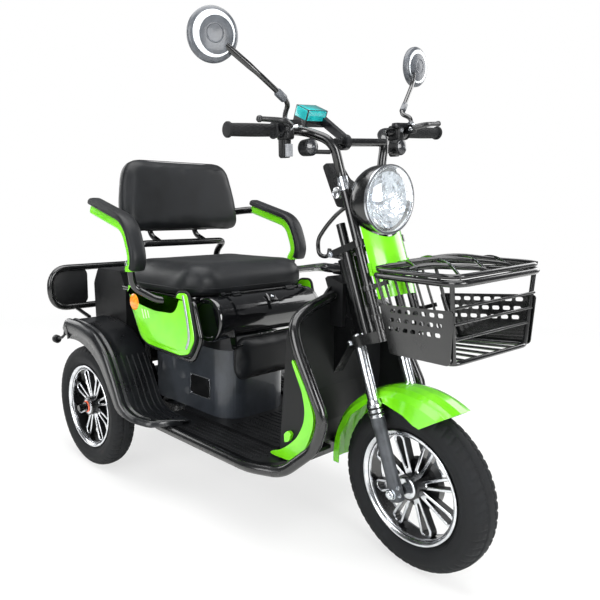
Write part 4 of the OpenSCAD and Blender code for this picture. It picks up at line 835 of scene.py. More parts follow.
stuffed(front_pad, 5.0, 6, lambda co: co[:, 0] < 0.0445)
piping = [pad_place @ Vector((x, y, 16)) for x, y,
          z in rounded_block((-130, -140, 0), (0, 140, 9), 34, 1, 1, 1)[0][:36]]
seam("front_pad_piping", front_pad, piping, 2.2, edging_rubber, "front_pad")

# ---- Rear fenders ----
# One black ABS moulding a side, from over the rear wheel down to a flat step. The outer edge has
# two raised beads and a turned-down flange, and five ribs run over the knee.
fender_in, fender_out = 206, 362
fender_line = rounded_line([(-96, 0, 466), (-80, 0, 489), (-64, 0, 495), (16, 0, 492),
                            (112, 0, 472), (176, 0, 424), (232, 0, 337), (266, 0, 272),
                            (300, 0, 250), (345, 0, 245), (416, 0, 243)], 30, 6)
across_shape = [(206, -16), (206.5, -3), (209, 0), (214, 0.6), (240, 0), (300, -0.2), (318, 0),
                (321, 2.6), (325, 4), (329, 2.8), (332, 0.6), (338, 0.4), (341, 3.4), (346, 5.4),
                (352, 5), (356.5, 2.4), (360, -3), (361.6, -10), (362, -26)]


def step_edge(x):
    """Outer edge of the step, which narrows towards its front end."""
    table = [(-400, 362), (262, 362), (300, 352), (333, 340), (369, 326), (391, 306), (404, 284),
             (412, 262), (416, 236), (417, 212)]
    for (x0, y0), (x1, y1) in zip(table, table[1:]):
        if x <= x1:
            return y0 + (y1 - y0) * (x - x0) / (x1 - x0)
    return table[-1][1]


def flange(x, z):
    """How far the outer flange hangs below the bead: to a circle round the wheel, and little at the step."""
    reach = math.hypot(x, z - wheel_r)
    over = max(0.0, min(1.0, (290 - x) / 60))
    return 12 + over * max(0.0, min(70.0, reach - wheel_r - 42))


# Textured less than the floor: a satin black that catches the light along every bead and rib.
satin_abs = new_finish("satin black ABS", "black_plastic", "#0F1012", 0.3, Coat_Weight=0.3,
                       Coat_Roughness=0.15)
worked_surface(satin_abs, "#0D0E10", "#15171A", 70, 0.24, 0.36, 1.3, 0.05)
fender_points, fender_faces = [], []
tangent = [(fender_line[min(i + 1,
                            len(fender_line) - 1)] - fender_line[max(i - 1, 0)]).normalized()
           for i in range(len(fender_line))]
m = len(across_shape)
for q, t in zip(fender_line, tangent):
    up = Vector((-t.z, 0, t.x))
    outer = step_edge(q.x)
    share = (outer - fender_in) / (fender_out - fender_in)
    for k, (y, rise) in enumerate(across_shape):
        if k == m - 1:
            rise = -flange(q.x, q.z)
        squeezed = fender_in + (y - fender_in) * share
        if y > 316 and outer - fender_in > 60:
            squeezed = outer - (fender_out - y)
        if 300 < y <= 316:
            squeezed = min(fender_in + (y - fender_in) * share, outer - 48)
        fender_points.append(Vector((q.x, -squeezed, q.z)) + up * rise)
for i in range(len(fender_line) - 1):
    fender_faces += [(i * m + j, i * m + j + 1, (i + 1) * m + j + 1, (i + 1) * m + j)
                     for j in range(m - 1)]
ribs = []
for k in range(5):
    y = -(220 + 20 * k)
    run = [Vector((q.x, y, q.z)) + Vector((-t.z, 0, t.x)) * 0.8 for q,
           t in zip(fender_line, tangent) if 186 < q.x < 402 - k * k * 1.4]
    ribs.append(swept(run, [(-3.4, -1.6), (-2.4, 2.9), (2.4, 2.9), (3.4, -1.6)], side=(0, 1, 0)))
for tag, flip in (("right", False), ("left", True)):
    points = mirrored(fender_points) if flip else fender_points
    fender = make_piece(f"{tag}_fender", points, fender_faces, satin_abs, "frame", sharp=50,
                        replaces=("rear_fenders",) if not flip else ())
    wall = fender.modifiers.new("wall", "SOLIDIFY")
    wall.thickness = 0.0032
    wall.offset = 1.0 if flip else -1.0
    rib_points, rib_faces = joined(*ribs)
    make_piece(f"{tag}_fender_ribs", mirrored(rib_points) if flip else rib_points, rib_faces,
               satin_abs, "frame")

# ---- Rear end ----
# A grab hoop of bent tube with two black side plates, lamps on its rear, and underneath the
# axle with its drum brakes, two coil springs and the geared motor.
hoop_x = -272
hoop = rounded_line([(hoop_x, -316, 503), (hoop_x, 316, 503), (hoop_x, 316, 648),
                     (hoop_x, -316, 648)], 70, 10, closed=True)
hoop_parts = [swept(hoop, circle(12, 22), closed=True)]
for side in (-1, 1):
    hoop_parts += [swept([(hoop_x, side * 110, 503), (-252, side * 110, 328.5)], circle(9)),
                   swept([(hoop_x, side * 225, 503), (-156, side * 225, 478)], circle(7)),
                   box_mesh((-264, side * 110 - 14, 326.3), (-230, side * 110 + 14, 331.3))]
make_piece("rear_grab_hoop", *joined(*hoop_parts), enamel, "frame", replaces=("rear_hoop",))
side_plate = rounded_block((-135, -68, -2.5), (0, 68, 2.5), 26, 1, 1, 2)
upright = Matrix.Rotation(math.pi / 2, 3, "Y").to_quaternion()
plates = [placed_at(side_plate, hoop_x, side * 235, 509, upright) for side in (-1, 1)]
make_piece("hoop_side_plates", *joined(*plates), moulded_abs, "frame")
# Clear red acrylic over a prismatic back: dark ruby from a step away, brighter at its edges.
red_lens = new_finish("moulded red acrylic", "red_lens", "#B3130F", 0.14, Coat_Weight=0.7)
worked_surface(red_lens, "#8E0D0B", "#CF2019", 8, 0.1, 0.2, 5.0, 0.4, cells=True)
rearward = (Matrix.Rotation(math.pi, 3, "Z") @ Matrix.Rotation(math.pi / 2, 3, "Y")).to_quaternion()
for side, tag in ((-1, "right"), (1, "left")):
    housing = rounded_block((-76, -54, 0), (0, 54, 14), 12, 3, 1, 3)
    make_piece(f"{tag}_lamp_housing", *placed_at(housing, -275, side * 235, 536, rearward),
               gloss_abs, "frame")
    lens = rounded_block((-71, -49, 0), (-5, 49, 10), 9, 4, 1, 3)
    make_piece(f"{tag}_lamp_lens", *placed_at(lens, -287, side * 235, 536, rearward),
               red_lens, "frame", replaces=("rear_lamps",) if side < 0 else ())
# Sand-cast aluminium and cast iron: mid grey, coarse and dull.
cast_grey = new_finish("sand-cast aluminium", "cast_grey", "#4C4F53", 0.5, 0.6)
worked_surface(cast_grey, "#3F4246", "#595C60", 30, 0.45, 0.6, 1.6, 0.18)
refinish("drive_motor", cast_grey)
refinish("rear_axle", enamel)
refinish("rear_springs", cast_grey)
springs = []
coil_r, coil_turns, coil_low, coil_rise = 24, 7.5, 250, 128
for side in (-1, 1):
    helix = [(coil_r * math.cos(a), side * 176 + coil_r * math.sin(a),
              coil_low + coil_rise * a / (math.tau * coil_turns))
             for a in (math.tau * coil_turns * k / 180 for k in range(181))]
    springs.append(swept(helix, circle(3.6, 10)))
make_piece("spring_coils", *joined(*springs), lime_abs, "frame")
# Glazed hub caps: warm orange, a little waxy.
signal_red = new_finish("orange glazed hub cap", "red_lens", "#E2562B", 0.25, Coat_Weight=0.5)
worked_surface(signal_red, "#CF4A22", "#F0683C", 8, 0.2, 0.32, 2.0, 0.08)
for which in ("right", "left"):
    cap = lathe_mesh([(11, -33.5), (19, -34.2), (20, -36), (17, -38.2), (11.2, -38.6)], 40)
    make_piece(f"{which}_hub_cap", *cap, signal_red, wheel_body[which], wheel_place(which),
               sharp=30)
stalks = []
for side in (-1, 1):
    stalks.append(swept([(-196, side * 300, 452), (-206, side * 300, 415), (-226, side * 300, 402),
                         (-262, side * 300, 392)], circle(5, 12)))
    stalks.append(placed_at(lathe_mesh([(0, -14), (12, -13), (15, -8), (15, 8), (12, 13), (0, 14)],
                                       28, "X"), -274, side * 300, 388))
make_piece("rear_signal_stalks", *joined(*stalks), moulded_abs, "frame")

# ---- Fork ----
# A telescopic fork: chromed stanchions in grey cast sliders, each with a bright dust seal of
# three rings, clamped in two black yokes, and two thin tubes a side up to the handlebar.
for name in ("fork_crown", "fork_tubes"):
    refinish(name, enamel)
# Hard chrome plate, ground satin: pale metal with long soft highlights.
hard_chrome = new_finish("hard chrome plate", "chrome", "#C9CCD1", 0.22, 1.0)
worked_surface(hard_chrome, "#B8BCC1", "#DADCE0", 10, 0.18, 0.28, 1.0, 0.02)
leg_y = 66.0
slider_line = [(0, -21.6), (8, -21.4), (13, -18), (16, -9), (16, 30), (15.4, 34), (15.4, 150),
               (16, 156), (16.8, 158), (16.8, 177.6), (0, 177.7)]
seal_line = [(0, 178), (17.6, 178), (18.9, 179.4), (18.9, 185), (17.8, 186), (17.8, 190),
             (18.9, 191), (18.9, 197), (17.8, 198), (17.8, 202), (18.9, 203), (18.9, 209),
             (17.4, 212), (15.6, 219.6), (13.6, 219.9)]
sliders, seals, stanchions, seal_rings, pinches = [], [], [], [], []
for side in (-1, 1):
    y = side * leg_y
    lug = rounded_block((-15, -14.5, -21), (15, 14.5, 26), 9, 4, 4, 3)
    sliders += [placed_at(lathe_mesh(slider_line, 48, "Z"), 0, y, 0), placed_at(lug, 0, y, 0)]
    sliders.append(placed_at(lathe_mesh([(7, -6), (12, -5.4), (12, 5.4), (7, 6)], 32), 0,
                             side * 38.5, 0))
    seals.append(placed_at(lathe_mesh(seal_line, 48, "Z"), 0, y, 0))
    stanchions.append(placed_at(lathe_mesh([(0, 212), (13.5, 212), (13.5, 378), (12.5, 379.8),
                                            (0, 379.8)], 48, "Z"), 0, y, 0))
    for w in (188, 200):
        seal_rings.append(placed_at(lathe_mesh([(17.6, w - 1.9), (18.4, w - 1.6), (18.4, w + 1.6),
                                                (17.6, w + 1.9)], 48, "Z"), 0, y, 0))
    for w in (-6, 12):
        pinches.append(placed_at(hex_bolt(4.2, 5), 15, y + side * 6, w, turned_to((1, 0, 0))))
    pinches.append(placed_at(hex_bolt(12, 9, 1.08), 0, side * (leg_y + 14.4), 0,
                             turned_to((0, side, 0))))
    pinches.append(placed_at(lathe_mesh([(7, 0), (7, 5.5), (5.8, 7), (0, 7.4)], 24, "Z"), 0,
                             side * (leg_y + 20.5), 0, turned_to((0, side, 0))))
    for w in (362, 582):
        pinches.append(placed_at(hex_bolt(5.5, 5), -8,
                                 side * (leg_y + (21.6 if w < 400 else 15.6)), w,
                                 turned_to((0, side, 0))))
make_piece("fork_sliders", *joined(*sliders), cast_grey, "steering", fork_frame,
           replaces=("fork_legs",))
make_piece("fork_seals", *joined(*seals), turned_alloy, "steering", fork_frame, sharp=25)
make_piece("fork_stanchions", *joined(*stanchions), hard_chrome, "steering", fork_frame)
make_piece("fork_seal_rings", *joined(*seal_rings), edging_rubber, "steering", fork_frame)
make_piece("fork_nuts", *joined(*pinches), zinc, "steering", fork_frame, sharp=30)

# ---- Handlebar and grips ----
# A black enamelled bar clamped on the fork's thin tubes, with rubber grips moulded in a lozenge
# pattern, cast levers and perches, and a switch box on each side.
bar_end_y, grip_in, grip_x, grip_z = 338.0, 214.0, 797, 1043
bar_line = [(863.02, -leg_y, 920.0), (855.0, -leg_y, 942.6), (850, -84, 1014),
            (grip_x, -124, grip_z), (grip_x, -bar_end_y, grip_z)]
bar_line = rounded_line(bar_line, 30, 10)
cross = [(851, -80, 1012), (851, 80, 1012)]
make_piece("handlebar_tube", *joined(swept_pair(bar_line, circle(11, 28)),
                                     swept(cross, circle(9.5, 28)),
                                     swept([(851, -62, 1012), (851, -40, 1012)], circle(13, 28))),
           enamel, "steering", turned, replaces=("handlebar",))
sleeves = []
for side in (-1, 1):
    sleeve = lathe_mesh([(11, 712), (12.6, 713), (12.6, 745), (11, 746)], 32, "Z")
    sleeves.append(placed_at(sleeve, 75, side * leg_y, 0))
    sleeves.append(placed_at(hex_bolt(4, 4), 75, side * (leg_y + 12.4), 729,
                             turned_to((0, side, 0))))
make_piece("handlebar_sleeves", *joined(*sleeves), zinc, "steering", fork_frame, sharp=30)
# Thermoplastic rubber: dull black, with the mould's lozenges 8 mm long.
grip_rubber = new_finish("moulded grip rubber", "rubber", "#121314", 0.62, Specular_IOR_Level=0.25)
worked_surface(grip_rubber, "#0F1011", "#191A1C", 20, 0.56, 0.7, 1.0, 0.08)
grips = []
around, along_grip = 72, 112
for side in (-1, 1):
    points = []
    for i in range(along_grip + 1):
        y = 219 + 119 * i / along_grip
        for j in range(around):
            a = math.tau * j / around
            lozenge = max(abs(math.sin(6 * a + y / 5.2)), abs(math.sin(6 * a - y / 5.2)))
            swell = 0.7 * math.sin(math.pi * i / along_grip)
            r = 13.2 + swell + 0.75 * min(1, max(0, (lozenge - 0.62) / 0.25))
            points.append((grip_x + r * math.cos(a), side * y, grip_z + r * math.sin(a)))
    grips.append((points, ring_faces(along_grip, around)))
    collar = [(11, 0), (17.5, 0), (19.2, 1.2), (19.2, 3.6), (17.5, 5), (13, 6)]
    cap = [(13, -2), (16.8, -1), (17.4, 0.4), (17.4, 4.6), (16, 6.6), (6, 7), (0, 7)]
    for line, y in ((collar, grip_in), (cap, bar_end_y)):
        grips.append(placed_at(lathe_mesh([(r, side * h) for r, h in line], 40), grip_x, side * y,
                               grip_z))
make_piece("grip_sleeves", *joined(*grips), grip_rubber, "steering", turned, sharp=50,
           replaces=("grips",))
# Die-cast aluminium in satin black: smooth, with soft highlights along the edges.
satin_cast = new_finish("satin black die-cast aluminium", "black_gloss", "#101113", 0.32, 0.1,
                        Coat_Weight=0.2)
worked_surface(satin_cast, "#0D0E10", "#16171A", 18, 0.26, 0.4, 1.0, 0.05)
levers, pivots = [], []
for side in (-1, 1):
    blade = rounded_line([(834, side * 199, 1050), (850, side * 222, 1056),
                          (848, side * 250, 1059), (843, side * 288, 1061)], 16, 3)
    sizes = [1.6 - 0.45 * k / (len(blade) - 1) for k in range(len(blade))]
    levers.append(swept(blade, [(4.6 * b, 6.0 * a) for a, b in circle(1, 16)], sizes=sizes))
    ball = [(7.6 * math.sin(math.pi * k / 10), -7.6 * math.cos(math.pi * k / 10))
            for k in range(11)]
    levers.append(placed_at(lathe_mesh(ball, 24), 843, side * 288, 1061))
    ring = lathe_mesh([(11.1, -7), (16, -7), (17, -6), (17, 6), (16, 7), (11.1, 7)], 40)
    levers.append(placed_at(ring, grip_x, side * 205, grip_z))
    levers.append(placed_at(rounded_block((0, -7, -6), (43, 7, 15.6), 5, 4, 4, 3), grip_x,
                            side * 205, grip_z))
    levers.append(placed_at(rounded_block((806, -23.5, 1052), (824, 23.5, 1064), 5, 4, 3, 3), 0,
                            side * 175.5, 0))
    pivots.append(placed_at(hex_bolt(4.6, 4.5), 832, side * 205, 1058.6, turned_to((0, 0, 1))))
    pivots.append(placed_at(lathe_mesh([(3.6, 0), (3.6, 9), (4.6, 9.5), (4.6, 15), (2.6, 16)], 24,
                                       "Z"), 836, side * 197, 1047, turned_to((0.4, -side, 0))))
make_piece("brake_lever_set", *joined(*levers), satin_cast, "steering", turned,
           replaces=("brake_levers",))
make_piece("lever_pivots", *joined(*pivots), zinc, "steering", turned, sharp=30)
boxes, keys = [], []
for side in (-1, 1):
    y0, y1 = sorted((side * 167.5, side * 196.5))
    boxes.append(rounded_block((778, y0, 1022), (816, y1, 1060.5), 9, 6, 5, 4))
    boxes.append(rounded_block((780, y0 + 2, 982), (806, y1 - 2, 1026), 8, 4, 7, 4))
    keys.append(rounded_block((804.5, y0 + 6, 984), (812, y1 - 6, 1012), 3, 2, 2, 3))
    keys.append(placed_at(lathe_mesh([(0, 3), (5, 2.6), (6, 1), (6, -1)], 24, "X"), 815.5,
                          (y0 + y1) / 2, 1047))
make_piece("switch_boxes", *joined(*boxes), moulded_abs, "steering", turned, replaces=("switches",))
# Acetal keys: smooth mid grey, a little waxy.
grey_acetal = new_finish("grey acetal", "gunmetal", "#8B8D91", 0.42)
worked_surface(grey_acetal, "#7F8185", "#97999D", 10, 0.38, 0.5, 1.0, 0.04)
make_piece("switch_keys", *joined(*keys), grey_acetal, "steering", turned)

# ---- Instrument ----
# A small black ABS case on an arm from the crossbar, with a liquid crystal display under a
# teal protective film.
dash_place = turned @ Matrix.Translation((762, -78,
                                          1082)) @ Matrix.Rotation(math.radians(24), 4, "Y")
make_piece("instrument_case", *rounded_block((-23.5, -29.5, -19.5), (23.5, 29.5, 18), 6, 3, 5, 4),
           gloss_abs, "steering", dash_place)
# Protective film: teal and glossy, with a faint painted glow.
film = new_finish("teal protective film", "black_gloss", "#17A5A8", 0.12, Coat_Weight=0.8,
                  Emission_Strength=0.1)
worked_surface(film, "#0E8C93", "#2FC2BF", 30, 0.08, 0.2, 3.0, 0.05)
# The film's painted glow takes its own teal.
film.node_tree.nodes["Principled BSDF"].inputs["Emission Color"].default_value = linear("#17A5A8")
make_piece("instrument_film", *rounded_block((-25, -31, -5), (25, 31, 20), 7, 4, 1, 4), film,
           "steering", dash_place)
refinish("dash", satin_cast)

# ---- Headlight ----
# A spun steel bucket in black enamel with a chromed bezel, a pressed reflector of many facets
# and a clear domed lens. Behind it is the bracket with the ignition lock and the bag hook.
lamp_x, lamp_z = 945.0, 876.0
bucket = [(64, -5), (76.5, -0.3), (79, -0.2), (79.9, -2.5), (80, -30), (79, -38), (76, -47),
          (70, -58), (60, -70), (50, -80), (44, -87), (40, -93), (33, -100), (22, -105),
          (10, -107.4), (0, -107.8)]
lamp_parts = [placed_at(lathe_mesh(bucket, 96, "X"), lamp_x, 0, lamp_z)]
for side in (-1, 1):
    lamp_parts.append(swept([(lamp_x - 66, side * 40, lamp_z), (lamp_x - 66, side * 54.6, lamp_z)],
                            circle(7)))
plate = flat_line([(lamp_x - 96, lamp_z - 20), (lamp_x - 96, lamp_z + 26),
                   (lamp_x - 150, lamp_z + 52), (lamp_x - 184, lamp_z + 96),
                   (lamp_x - 202, lamp_z + 88), (lamp_x - 172, lamp_z + 26),
                   (lamp_x - 150, lamp_z - 14)], 7, 3)
lamp_parts.append(slab(plate, -23.5, 23.5))
make_piece("headlight_bucket", *joined(*lamp_parts), enamel, "steering", turned,
           replaces=("headlight",))
hook = rounded_line([(lamp_x - 130, 0, lamp_z - 9), (lamp_x - 176, 0, lamp_z - 34),
                     (lamp_x - 216, 0, lamp_z - 66), (lamp_x - 250, 0, lamp_z - 102),
                     (lamp_x - 246, 0, lamp_z - 144), (lamp_x - 208, 0, lamp_z - 146),
                     (lamp_x - 203, 0, lamp_z - 124)], 18, 7)
make_piece("bag_hook", *swept(hook, circle(5.5, 20)), enamel, "steering", turned)
lock = lathe_mesh([(15, 0), (15, 4), (13.5, 6), (12, 6.4), (10.5, 5.4), (0, 5.4)], 40, "Z")
make_piece("ignition_lock", *placed_at(lock, lamp_x - 146, -23.4, lamp_z + 20,
                                       turned_to((0, -1, 0))), turned_alloy, "steering", turned)
bezel = [(71.5, -1.2), (73, 1.6), (76.5, 3.4), (79.5, 3.0), (80, 1), (80, -1.5)]
make_piece("headlight_bezel", *placed_at(lathe_mesh(bezel, 96, "X"), lamp_x, 0, lamp_z),
           hard_chrome, "steering", turned, sharp=40)
# Vacuum-coated reflector: mirror-bright, broken up by facets about 9 mm across.
mirror_coat = new_finish("vacuum-coated reflector", "mirror", "#E3E6EA", 0.12, 1.0)
worked_surface(mirror_coat, "#D2D6DB", "#F2F4F6", 6, 0.08, 0.2, 2.0, 0.05)
rng = np.random.default_rng(5)
spokes_of_light, bands = 40, 9
points = []
for i in range(bands + 1):
    r = 12 + 60.5 * i / bands
    for j in range(spokes_of_light):
        a = math.tau * (j + 0.5 * (i % 2)) / spokes_of_light
        depth = -30 * (1 - (r / 72.5) ** 2) - 1.5 + (2.2 * (rng.random() - 0.5) if 0 < i < bands
                                                     else 0)
        points.append((depth, r * math.cos(a), r * math.sin(a)))
faces = []
for i in range(bands):
    for j in range(spokes_of_light):
        a, b = i * spokes_of_light + j, i * spokes_of_light + (j + 1) % spokes_of_light
        c, d = (i + 1) * spokes_of_light + (j + 1) % spokes_of_light, (i + 1) * spokes_of_light + j
        faces += [(a, b, c), (a, c, d)]
bulb_cap = lathe_mesh([(12.2, -30.6), (11, -24), (8, -19), (4, -17), (0, -16.4)], 24, "X")
make_piece("headlight_reflector", *placed_at(joined((points, faces), bulb_cap), lamp_x, 0, lamp_z),
           mirror_coat, "steering", turned, smooth=False)
# Clear polycarbonate in a plain dome: the facets show through it, under one sharp highlight.
clear_lens = new_finish("clear polycarbonate", "clear_lens", "#F4F8FB", 0.04,
                        Transmission_Weight=0.92, IOR=1.586, Coat_Weight=0.3)
lens_face = [(0, 21.6), (24, 20.6), (40, 17.6), (54, 13.4), (64, 9.4), (72, 4.4), (74.5, 1.2)]
lens = make_piece("headlight_glass", *placed_at(lathe_mesh(lens_face, 96, "X"), lamp_x, 0, lamp_z),
                  clear_lens, "steering", turned, replaces=("headlight_lens",))
wall = lens.modifiers.new("wall", "SOLIDIFY")
wall.thickness = 0.002
wall.offset = 0.0

# ---- Basket ----
# A wire basket in black enamel: two round frames, thin rods between them, and a steel sheet
# pierced with three rows of rounded slots on each side. It hangs from the fork's front tubes.
basket_rear, basket_front, basket_z, basket_d = 987.0, 1233.0, 720.0, 168.0
rear_y, front_y = 98.0, 135.0
rim_corners = [Vector(c) for c in ((basket_rear, -rear_y, basket_z - 4),
                                   (basket_front, -front_y, basket_z + 4),
                                   (basket_front, front_y, basket_z + 4),
                                   (basket_rear, rear_y, basket_z - 4))]
floor_rear, floor_front_x, floor_low = basket_rear + 66, basket_front - 12, basket_z - basket_d
base_corners = [Vector(c) for c in ((floor_rear, -rear_y + 4, floor_low),
                                    (floor_front_x, -front_y + 14, floor_low + 14),
                                    (floor_front_x, front_y - 14, floor_low + 14),
                                    (floor_rear, rear_y - 4, floor_low))]
rim_line = rounded_line(rim_corners, 34, 8, closed=True)
wires = [swept(rim_line, circle(7, 20), closed=True),
         swept(rounded_line(base_corners, 24, 6, closed=True), circle(5, 14), closed=True)]
for a, b in ((1, 0), (2, 3)):
    s = -1 if a == 1 else 1
    wires.append(swept([rim_corners[a] + Vector((-14, -s * 4, 0)),
                        base_corners[a] + Vector((-4, -s * 6, 0))], circle(4.6, 12)))
    wires.append(swept([rim_corners[b] + Vector((12, 0, 0)), base_corners[b] + Vector((12, 0, 0))],
                       circle(4.2, 12)))
for k in (0.3, 0.5, 0.7):
    p, q = rim_corners[1].lerp(base_corners[1],
                               k) + Vector((-6, 3, 0)), rim_corners[2].lerp(base_corners[2],
                                                                            k) + Vector((-6, -3, 0))
    wires.append(swept([p, q], circle(3, 10)))
for k in (-1, -0.5, 0, 0.5, 1):
    wires.append(swept(rounded_line([(basket_rear, k * leg_y, basket_z - 4),
                                     (floor_rear, k * leg_y, floor_low),
                                     (floor_front_x, k * 80, floor_low + 14)], 16, 4),
                       circle(3, 10)))
make_piece("basket_wires", *joined(*wires), enamel, "steering", turned, replaces=("basket",))


def pierced_sheet(outline, holes, thickness):
    """Points and faces of a flat sheet with holes, in length and height, about the middle plane."""
    line = bpy.data.curves.new("sheet", "CURVE")
    line.dimensions = "2D"
    line.fill_mode = "BOTH"
    line.extrude = thickness / 2
    for ring in [outline] + holes:
        spline = line.splines.new("POLY")
        spline.points.add(len(ring) - 1)
        spline.use_cyclic_u = True
        for point, (x, z) in zip(spline.points, ring):
            point.co = (x, z, 0, 1)
    carrier = bpy.data.objects.new("sheet", line)
    mesh = bpy.data.meshes.new_from_object(carrier)
    points = [Vector((v.co.x, -v.co.z, v.co.y)) for v in mesh.vertices]
    faces = [tuple(p.vertices) for p in mesh.polygons]
    bpy.data.objects.remove(carrier)
    bpy.data.curves.remove(line)
    bpy.data.meshes.remove(mesh)
    return points, faces


sheet_outline = flat_line([(basket_rear + 26, basket_z - 66), (basket_rear + 62, floor_low - 2),
                           (floor_front_x + 2, floor_low + 12), (basket_front - 4, basket_z - 48)],
                          9, 4)
slots = []
for row in range(3):
    for i in range(7):
        x, z = basket_rear + 70 + i * 23 - row * 3, basket_z - 73.5 - row * 20 + i * 2
        tilt = math.radians(5)
        corners = [(x + dx * math.cos(tilt) - dz * math.sin(tilt),
                    z + dx * math.sin(tilt) + dz * math.cos(tilt)) for dx,
                   dz in ((-8, -4.5), (8, -4.5), (8, 4.5), (-8, 4.5))]
        slots.append(flat_line(corners, 4.4, 4))
sheet_mesh = pierced_sheet(sheet_outline, slots, 2.4)
side_turn = math.atan((front_y - rear_y) / (basket_front - basket_rear))
sheets = []
for side in (-1, 1):
    place = Matrix.Translation((basket_rear, side * (rear_y - 2),
                                0)) @ Matrix.Rotation(side * side_turn, 4,
                                                      "Z") @ Matrix.Translation((-basket_rear, 0,
                                                                                 0))
    sheets.append(moved(sheet_mesh, place))
make_piece("basket_sheets", *joined(*sheets), enamel, "steering", turned, sharp=40)
arms = []
for side in (-1, 1):
    for w in (400, 470):
        arms.append(placed_at(lathe_mesh([(11.1, 0.3), (14.4, 0.3), (15, 1.2), (15, 12.8),
                                          (14.4, 13.7), (11.1, 13.7)], 36, "Z"), 75, side * leg_y,
                              w))
        arms.append(placed_at(box_mesh((83, -3.4, 2.2), (134, 3.4, 11.8)), 0, side * (leg_y + 2),
                              w))
make_piece("basket_brackets", *joined(*arms), enamel, "steering", fork_frame, sharp=30)

# ---- Basket lid ----
# A hinged lid of black enamelled wire: a round frame, and two sets of flattened wires laid
# across each other in lozenges over a low dome.
lid_rise = 13.0
lid_corners = [p + Vector((3 if p.x < 1037 else -3, 0, lid_rise)) for p in rim_corners]
lid_wires = [swept(rounded_line(lid_corners, 34, 8, closed=True), circle(5, 16), closed=True)]
low_x, high_x = lid_corners[0].x, lid_corners[1].x


def lid_edge(x):
    """Half the lid's width at a place along it."""
    return rear_y + (front_y - rear_y) * (x - low_x) / (high_x - low_x) - 3


flat_wire = [(4.2 * a, 2.4 * b) for a, b in circle(1, 12)]
for slope in (-1, 1):
    for start in (-0.9, -0.3, 0.3, 0.9):
        run = []
        for k in range(25):
            t = k / 24
            across = start + slope * 1.25 * (t - 0.5)
            if abs(across) <= 1.0:
                x = low_x + (high_x - low_x) * t
                dome = (1 - across * across) ** 0.5 * math.sin(math.pi * t) ** 0.6
                weave = 1.6 * slope * math.cos(math.pi * 4 * t + start)
                run.append((x, across * lid_edge(x), basket_z + lid_rise + (x - low_x) * 0.032 - 4
                            + 22 * dome + weave))
        if len(run) > 2:
            lid_wires.append(swept(run, flat_wire))
flap_x, flap_z = basket_rear - 7.5, basket_z + 9
for side in (-1, 1):
    lid_wires.append(placed_at(lathe_mesh([(3.6, -7), (6, -7), (6.5, -6), (6.5, 6), (6, 7),
                                           (3.6, 7)], 24), flap_x, side * 30, flap_z))
    lid_wires.append(box_mesh((flap_x + 3, side * 30 - 6.8, flap_z - 1.4),
                              (flap_x + 10.4, side * 30 + 6.8, flap_z + 2.4)))
make_piece("basket_lid_wires", *joined(*lid_wires), enamel, "basket_lid", turned,
           replaces=("basket_lid",))
hinge = [swept([(flap_x, -45, flap_z), (flap_x, 45, flap_z)], circle(3.5, 16))]
for side in (-1, 1):
    ear = flat_line([(flap_x - 4.5, flap_z + 2), (flap_x + 3.5, flap_z + 2),
                     (flap_x + 3.5, flap_z - 4), (basket_rear, basket_z - 5),
                     (basket_rear - 5, basket_z - 7)], 2, 2)
    hinge.append(slab(ear, side * 42 - 2, side * 42 + 2))
make_piece("basket_hinge", *joined(*hinge), zinc, "steering", turned)

# ---- Mirrors ----
# Round glass in a grey-black ABS shell, with a pale crescent and a drop-shaped boss moulded on
# its back. Each stands on a bent steel stem with a locking nut.
# Moulded ABS in slate grey: satin, a touch bluer than the black parts.
slate_abs = new_finish("slate grey ABS", "gunmetal", "#4A4D53", 0.36, Coat_Weight=0.2)
worked_surface(slate_abs, "#414449", "#565A60", 25, 0.32, 0.44, 1.2, 0.06)
# White inlay: the brightest patch on the dark shell.
white_abs = new_finish("white ABS inlay", "mirror", "#E8EDF1", 0.3, Coat_Weight=0.3)
worked_surface(white_abs, "#DCE3E8", "#F4F7F9", 15, 0.26, 0.36, 1.0, 0.03)
# Silvered glass: a clean mirror of the lamps and the wall.
silvered = new_finish("silvered mirror glass", "mirror", "#E6EAEE", 0.03, 1.0)
worked_surface(silvered, "#DFE4E9", "#EEF1F4", 60, 0.02, 0.05, 5.0, 0.01)
shells, crescents, bosses, glasses = [], [], [], []
for place, turn, toward in (((822, -384, 1226), -12, 1), ((668, 402, 1242), 8, -1)):
    at = Matrix.Translation(place) @ Matrix.Rotation(math.radians(turn), 4,
                                                     "Z") @ Matrix.Rotation(math.pi / 2, 4, "Y")
    shell = lathe_mesh([(0, -8.8), (48.6, -8.8), (50, -8.6), (54, -7), (55, -4.6), (55, 1),
                        (53.4, 4), (50, 6.4), (43, 9.2), (34, 11.6), (20, 13.6), (0, 14.4)], 72,
                       "Z")
    shells.append(moved(shell, at))
    # The white ring is off centre, so it is widest away from the stem.
    ring, n = [], 64
    for k in range(n):
        a = math.tau * k / n
        for r, shift in ((45.5, 0), (37.5, 5.5)):
            x, y = r * math.cos(a) + 0.55 * shift, r * math.sin(a) + toward * 0.8 * shift
            d = math.hypot(x, y)
            ring.append((x, y, float(np.interp(d, (0, 20, 34, 43, 50, 53.4, 55),
                                               (14.4, 13.6, 11.6, 9.2, 6.4, 4, 1))) + 0.5))
    faces = [(2 * k, 2 * k + 1, (2 * k + 3) % (2 * n), (2 * k + 2) % (2 * n)) for k in range(n)]
    crescents.append(moved((ring, [f[::-1] for f in faces]), at))
    cap = lathe_mesh([(15.5, 13.2), (17, 14.4), (18.6, 14.6), (19.6, 13.6)], 48, "Z")
    bosses.append(moved(cap, at))
    glass = lathe_mesh([(49, -9.2), (49, -10.4), (48, -10.8), (0, -10.8)], 64, "Z")
    glasses.append(moved(glass, at))
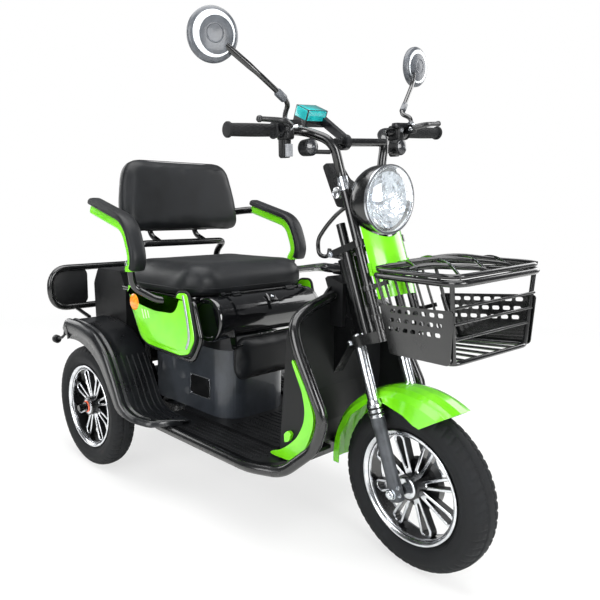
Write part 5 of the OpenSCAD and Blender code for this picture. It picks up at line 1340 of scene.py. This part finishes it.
stems = [rounded_line([(825, -205, 1059.3), (825, -205, 1077), (847, -210, 1096),
                       (858, -300, 1150), (834, -360, 1204)], 22, 6),
         rounded_line([(825, 205, 1059.3), (825, 205, 1077), (790, 206, 1090), (745, 300, 1175),
                       (684, 376, 1218)], 22, 6)]
stem_parts, stem_nuts = [], []
for line in stems:
    count = len(line)
    stem_parts.append(swept(line, circle(5.6, 16),
                            sizes=[1.0 + 0.35 * max(0, (k - count * 0.8) / (count * 0.2))
                                   for k in range(count)]))
    low_bend, high_bend = line[int(count * 0.56)], line[int(count * 0.6) + 3]
    way = (high_bend - low_bend).normalized()
    stem_nuts.append(placed_at(lathe_mesh([(5, 0), (8.0, 0.8), (8.8, 4), (8.8, 27), (7.6, 30),
                                           (5, 31)], 6, "Z"), *(low_bend + way * 4),
                               turned_to(way)))
    stem_nuts.append(placed_at(hex_bolt(8, 7), *line[0], turned_to((0, 0, 1))))
make_piece("mirror_shells", *joined(*shells), slate_abs, "steering", turned, sharp=50,
           replaces=("mirrors",))
make_piece("mirror_crescents", *joined(*crescents), white_abs, "steering", turned)
make_piece("mirror_bosses", *joined(*bosses), slate_abs, "steering", turned)
make_piece("mirror_faces", *joined(*glasses), silvered, "steering", turned,
           replaces=("mirror_glass",))
make_piece("mirror_stems", *joined(*stem_parts), enamel, "steering", turned)
make_piece("mirror_stem_nuts", *joined(*stem_nuts), slate_abs, "steering", turned, sharp=25)

# ---- Front signals ----
# Round lamps in black ABS on short stalks below the handlebar, each with a smoked amber lens
# and a small bright screw at its centre.
# Smoked acrylic: nearly black until light strikes through it.
smoked = new_finish("smoked amber acrylic", "amber_lens", "#26272A", 0.2, Coat_Weight=0.5)
worked_surface(smoked, "#1F2022", "#303236", 4, 0.14, 0.26, 2.4, 0.2, cells=True)
signal_bodies, signal_faces, signal_screws = [], [], []
for side in (-1, 1):
    x, y, z = 812.0, side * 147.0, 1002.0
    signal_bodies.append(placed_at(lathe_mesh([(0, 0.2), (11.5, 0.4), (18.6, 8), (19.8, 28),
                                               (19.8, 34), (18, 35), (17, 34)], 40, "X"), x, y, z))
    signal_bodies.append(swept([(x + 10, y, z - 8), (846.4, side * 90.4, 990.6)], circle(5, 14)))
    signal_faces.append(placed_at(lathe_mesh([(17.4, 33.5), (16.4, 38), (9, 41.6), (3, 42.4),
                                              (3, 41)], 40, "X"), x, y, z))
    signal_screws.append(placed_at(lathe_mesh([(3.2, 40.8), (3.2, 42.6), (0, 43)], 20, "X"), x, y,
                                   z))
make_piece("front_signal_bodies", *joined(*signal_bodies), moulded_abs, "steering", turned,
           replaces=("front_signals",))
make_piece("front_signal_lenses", *joined(*signal_faces), smoked, "steering", turned)
make_piece("front_signal_screws", *joined(*signal_screws), zinc, "steering", turned)
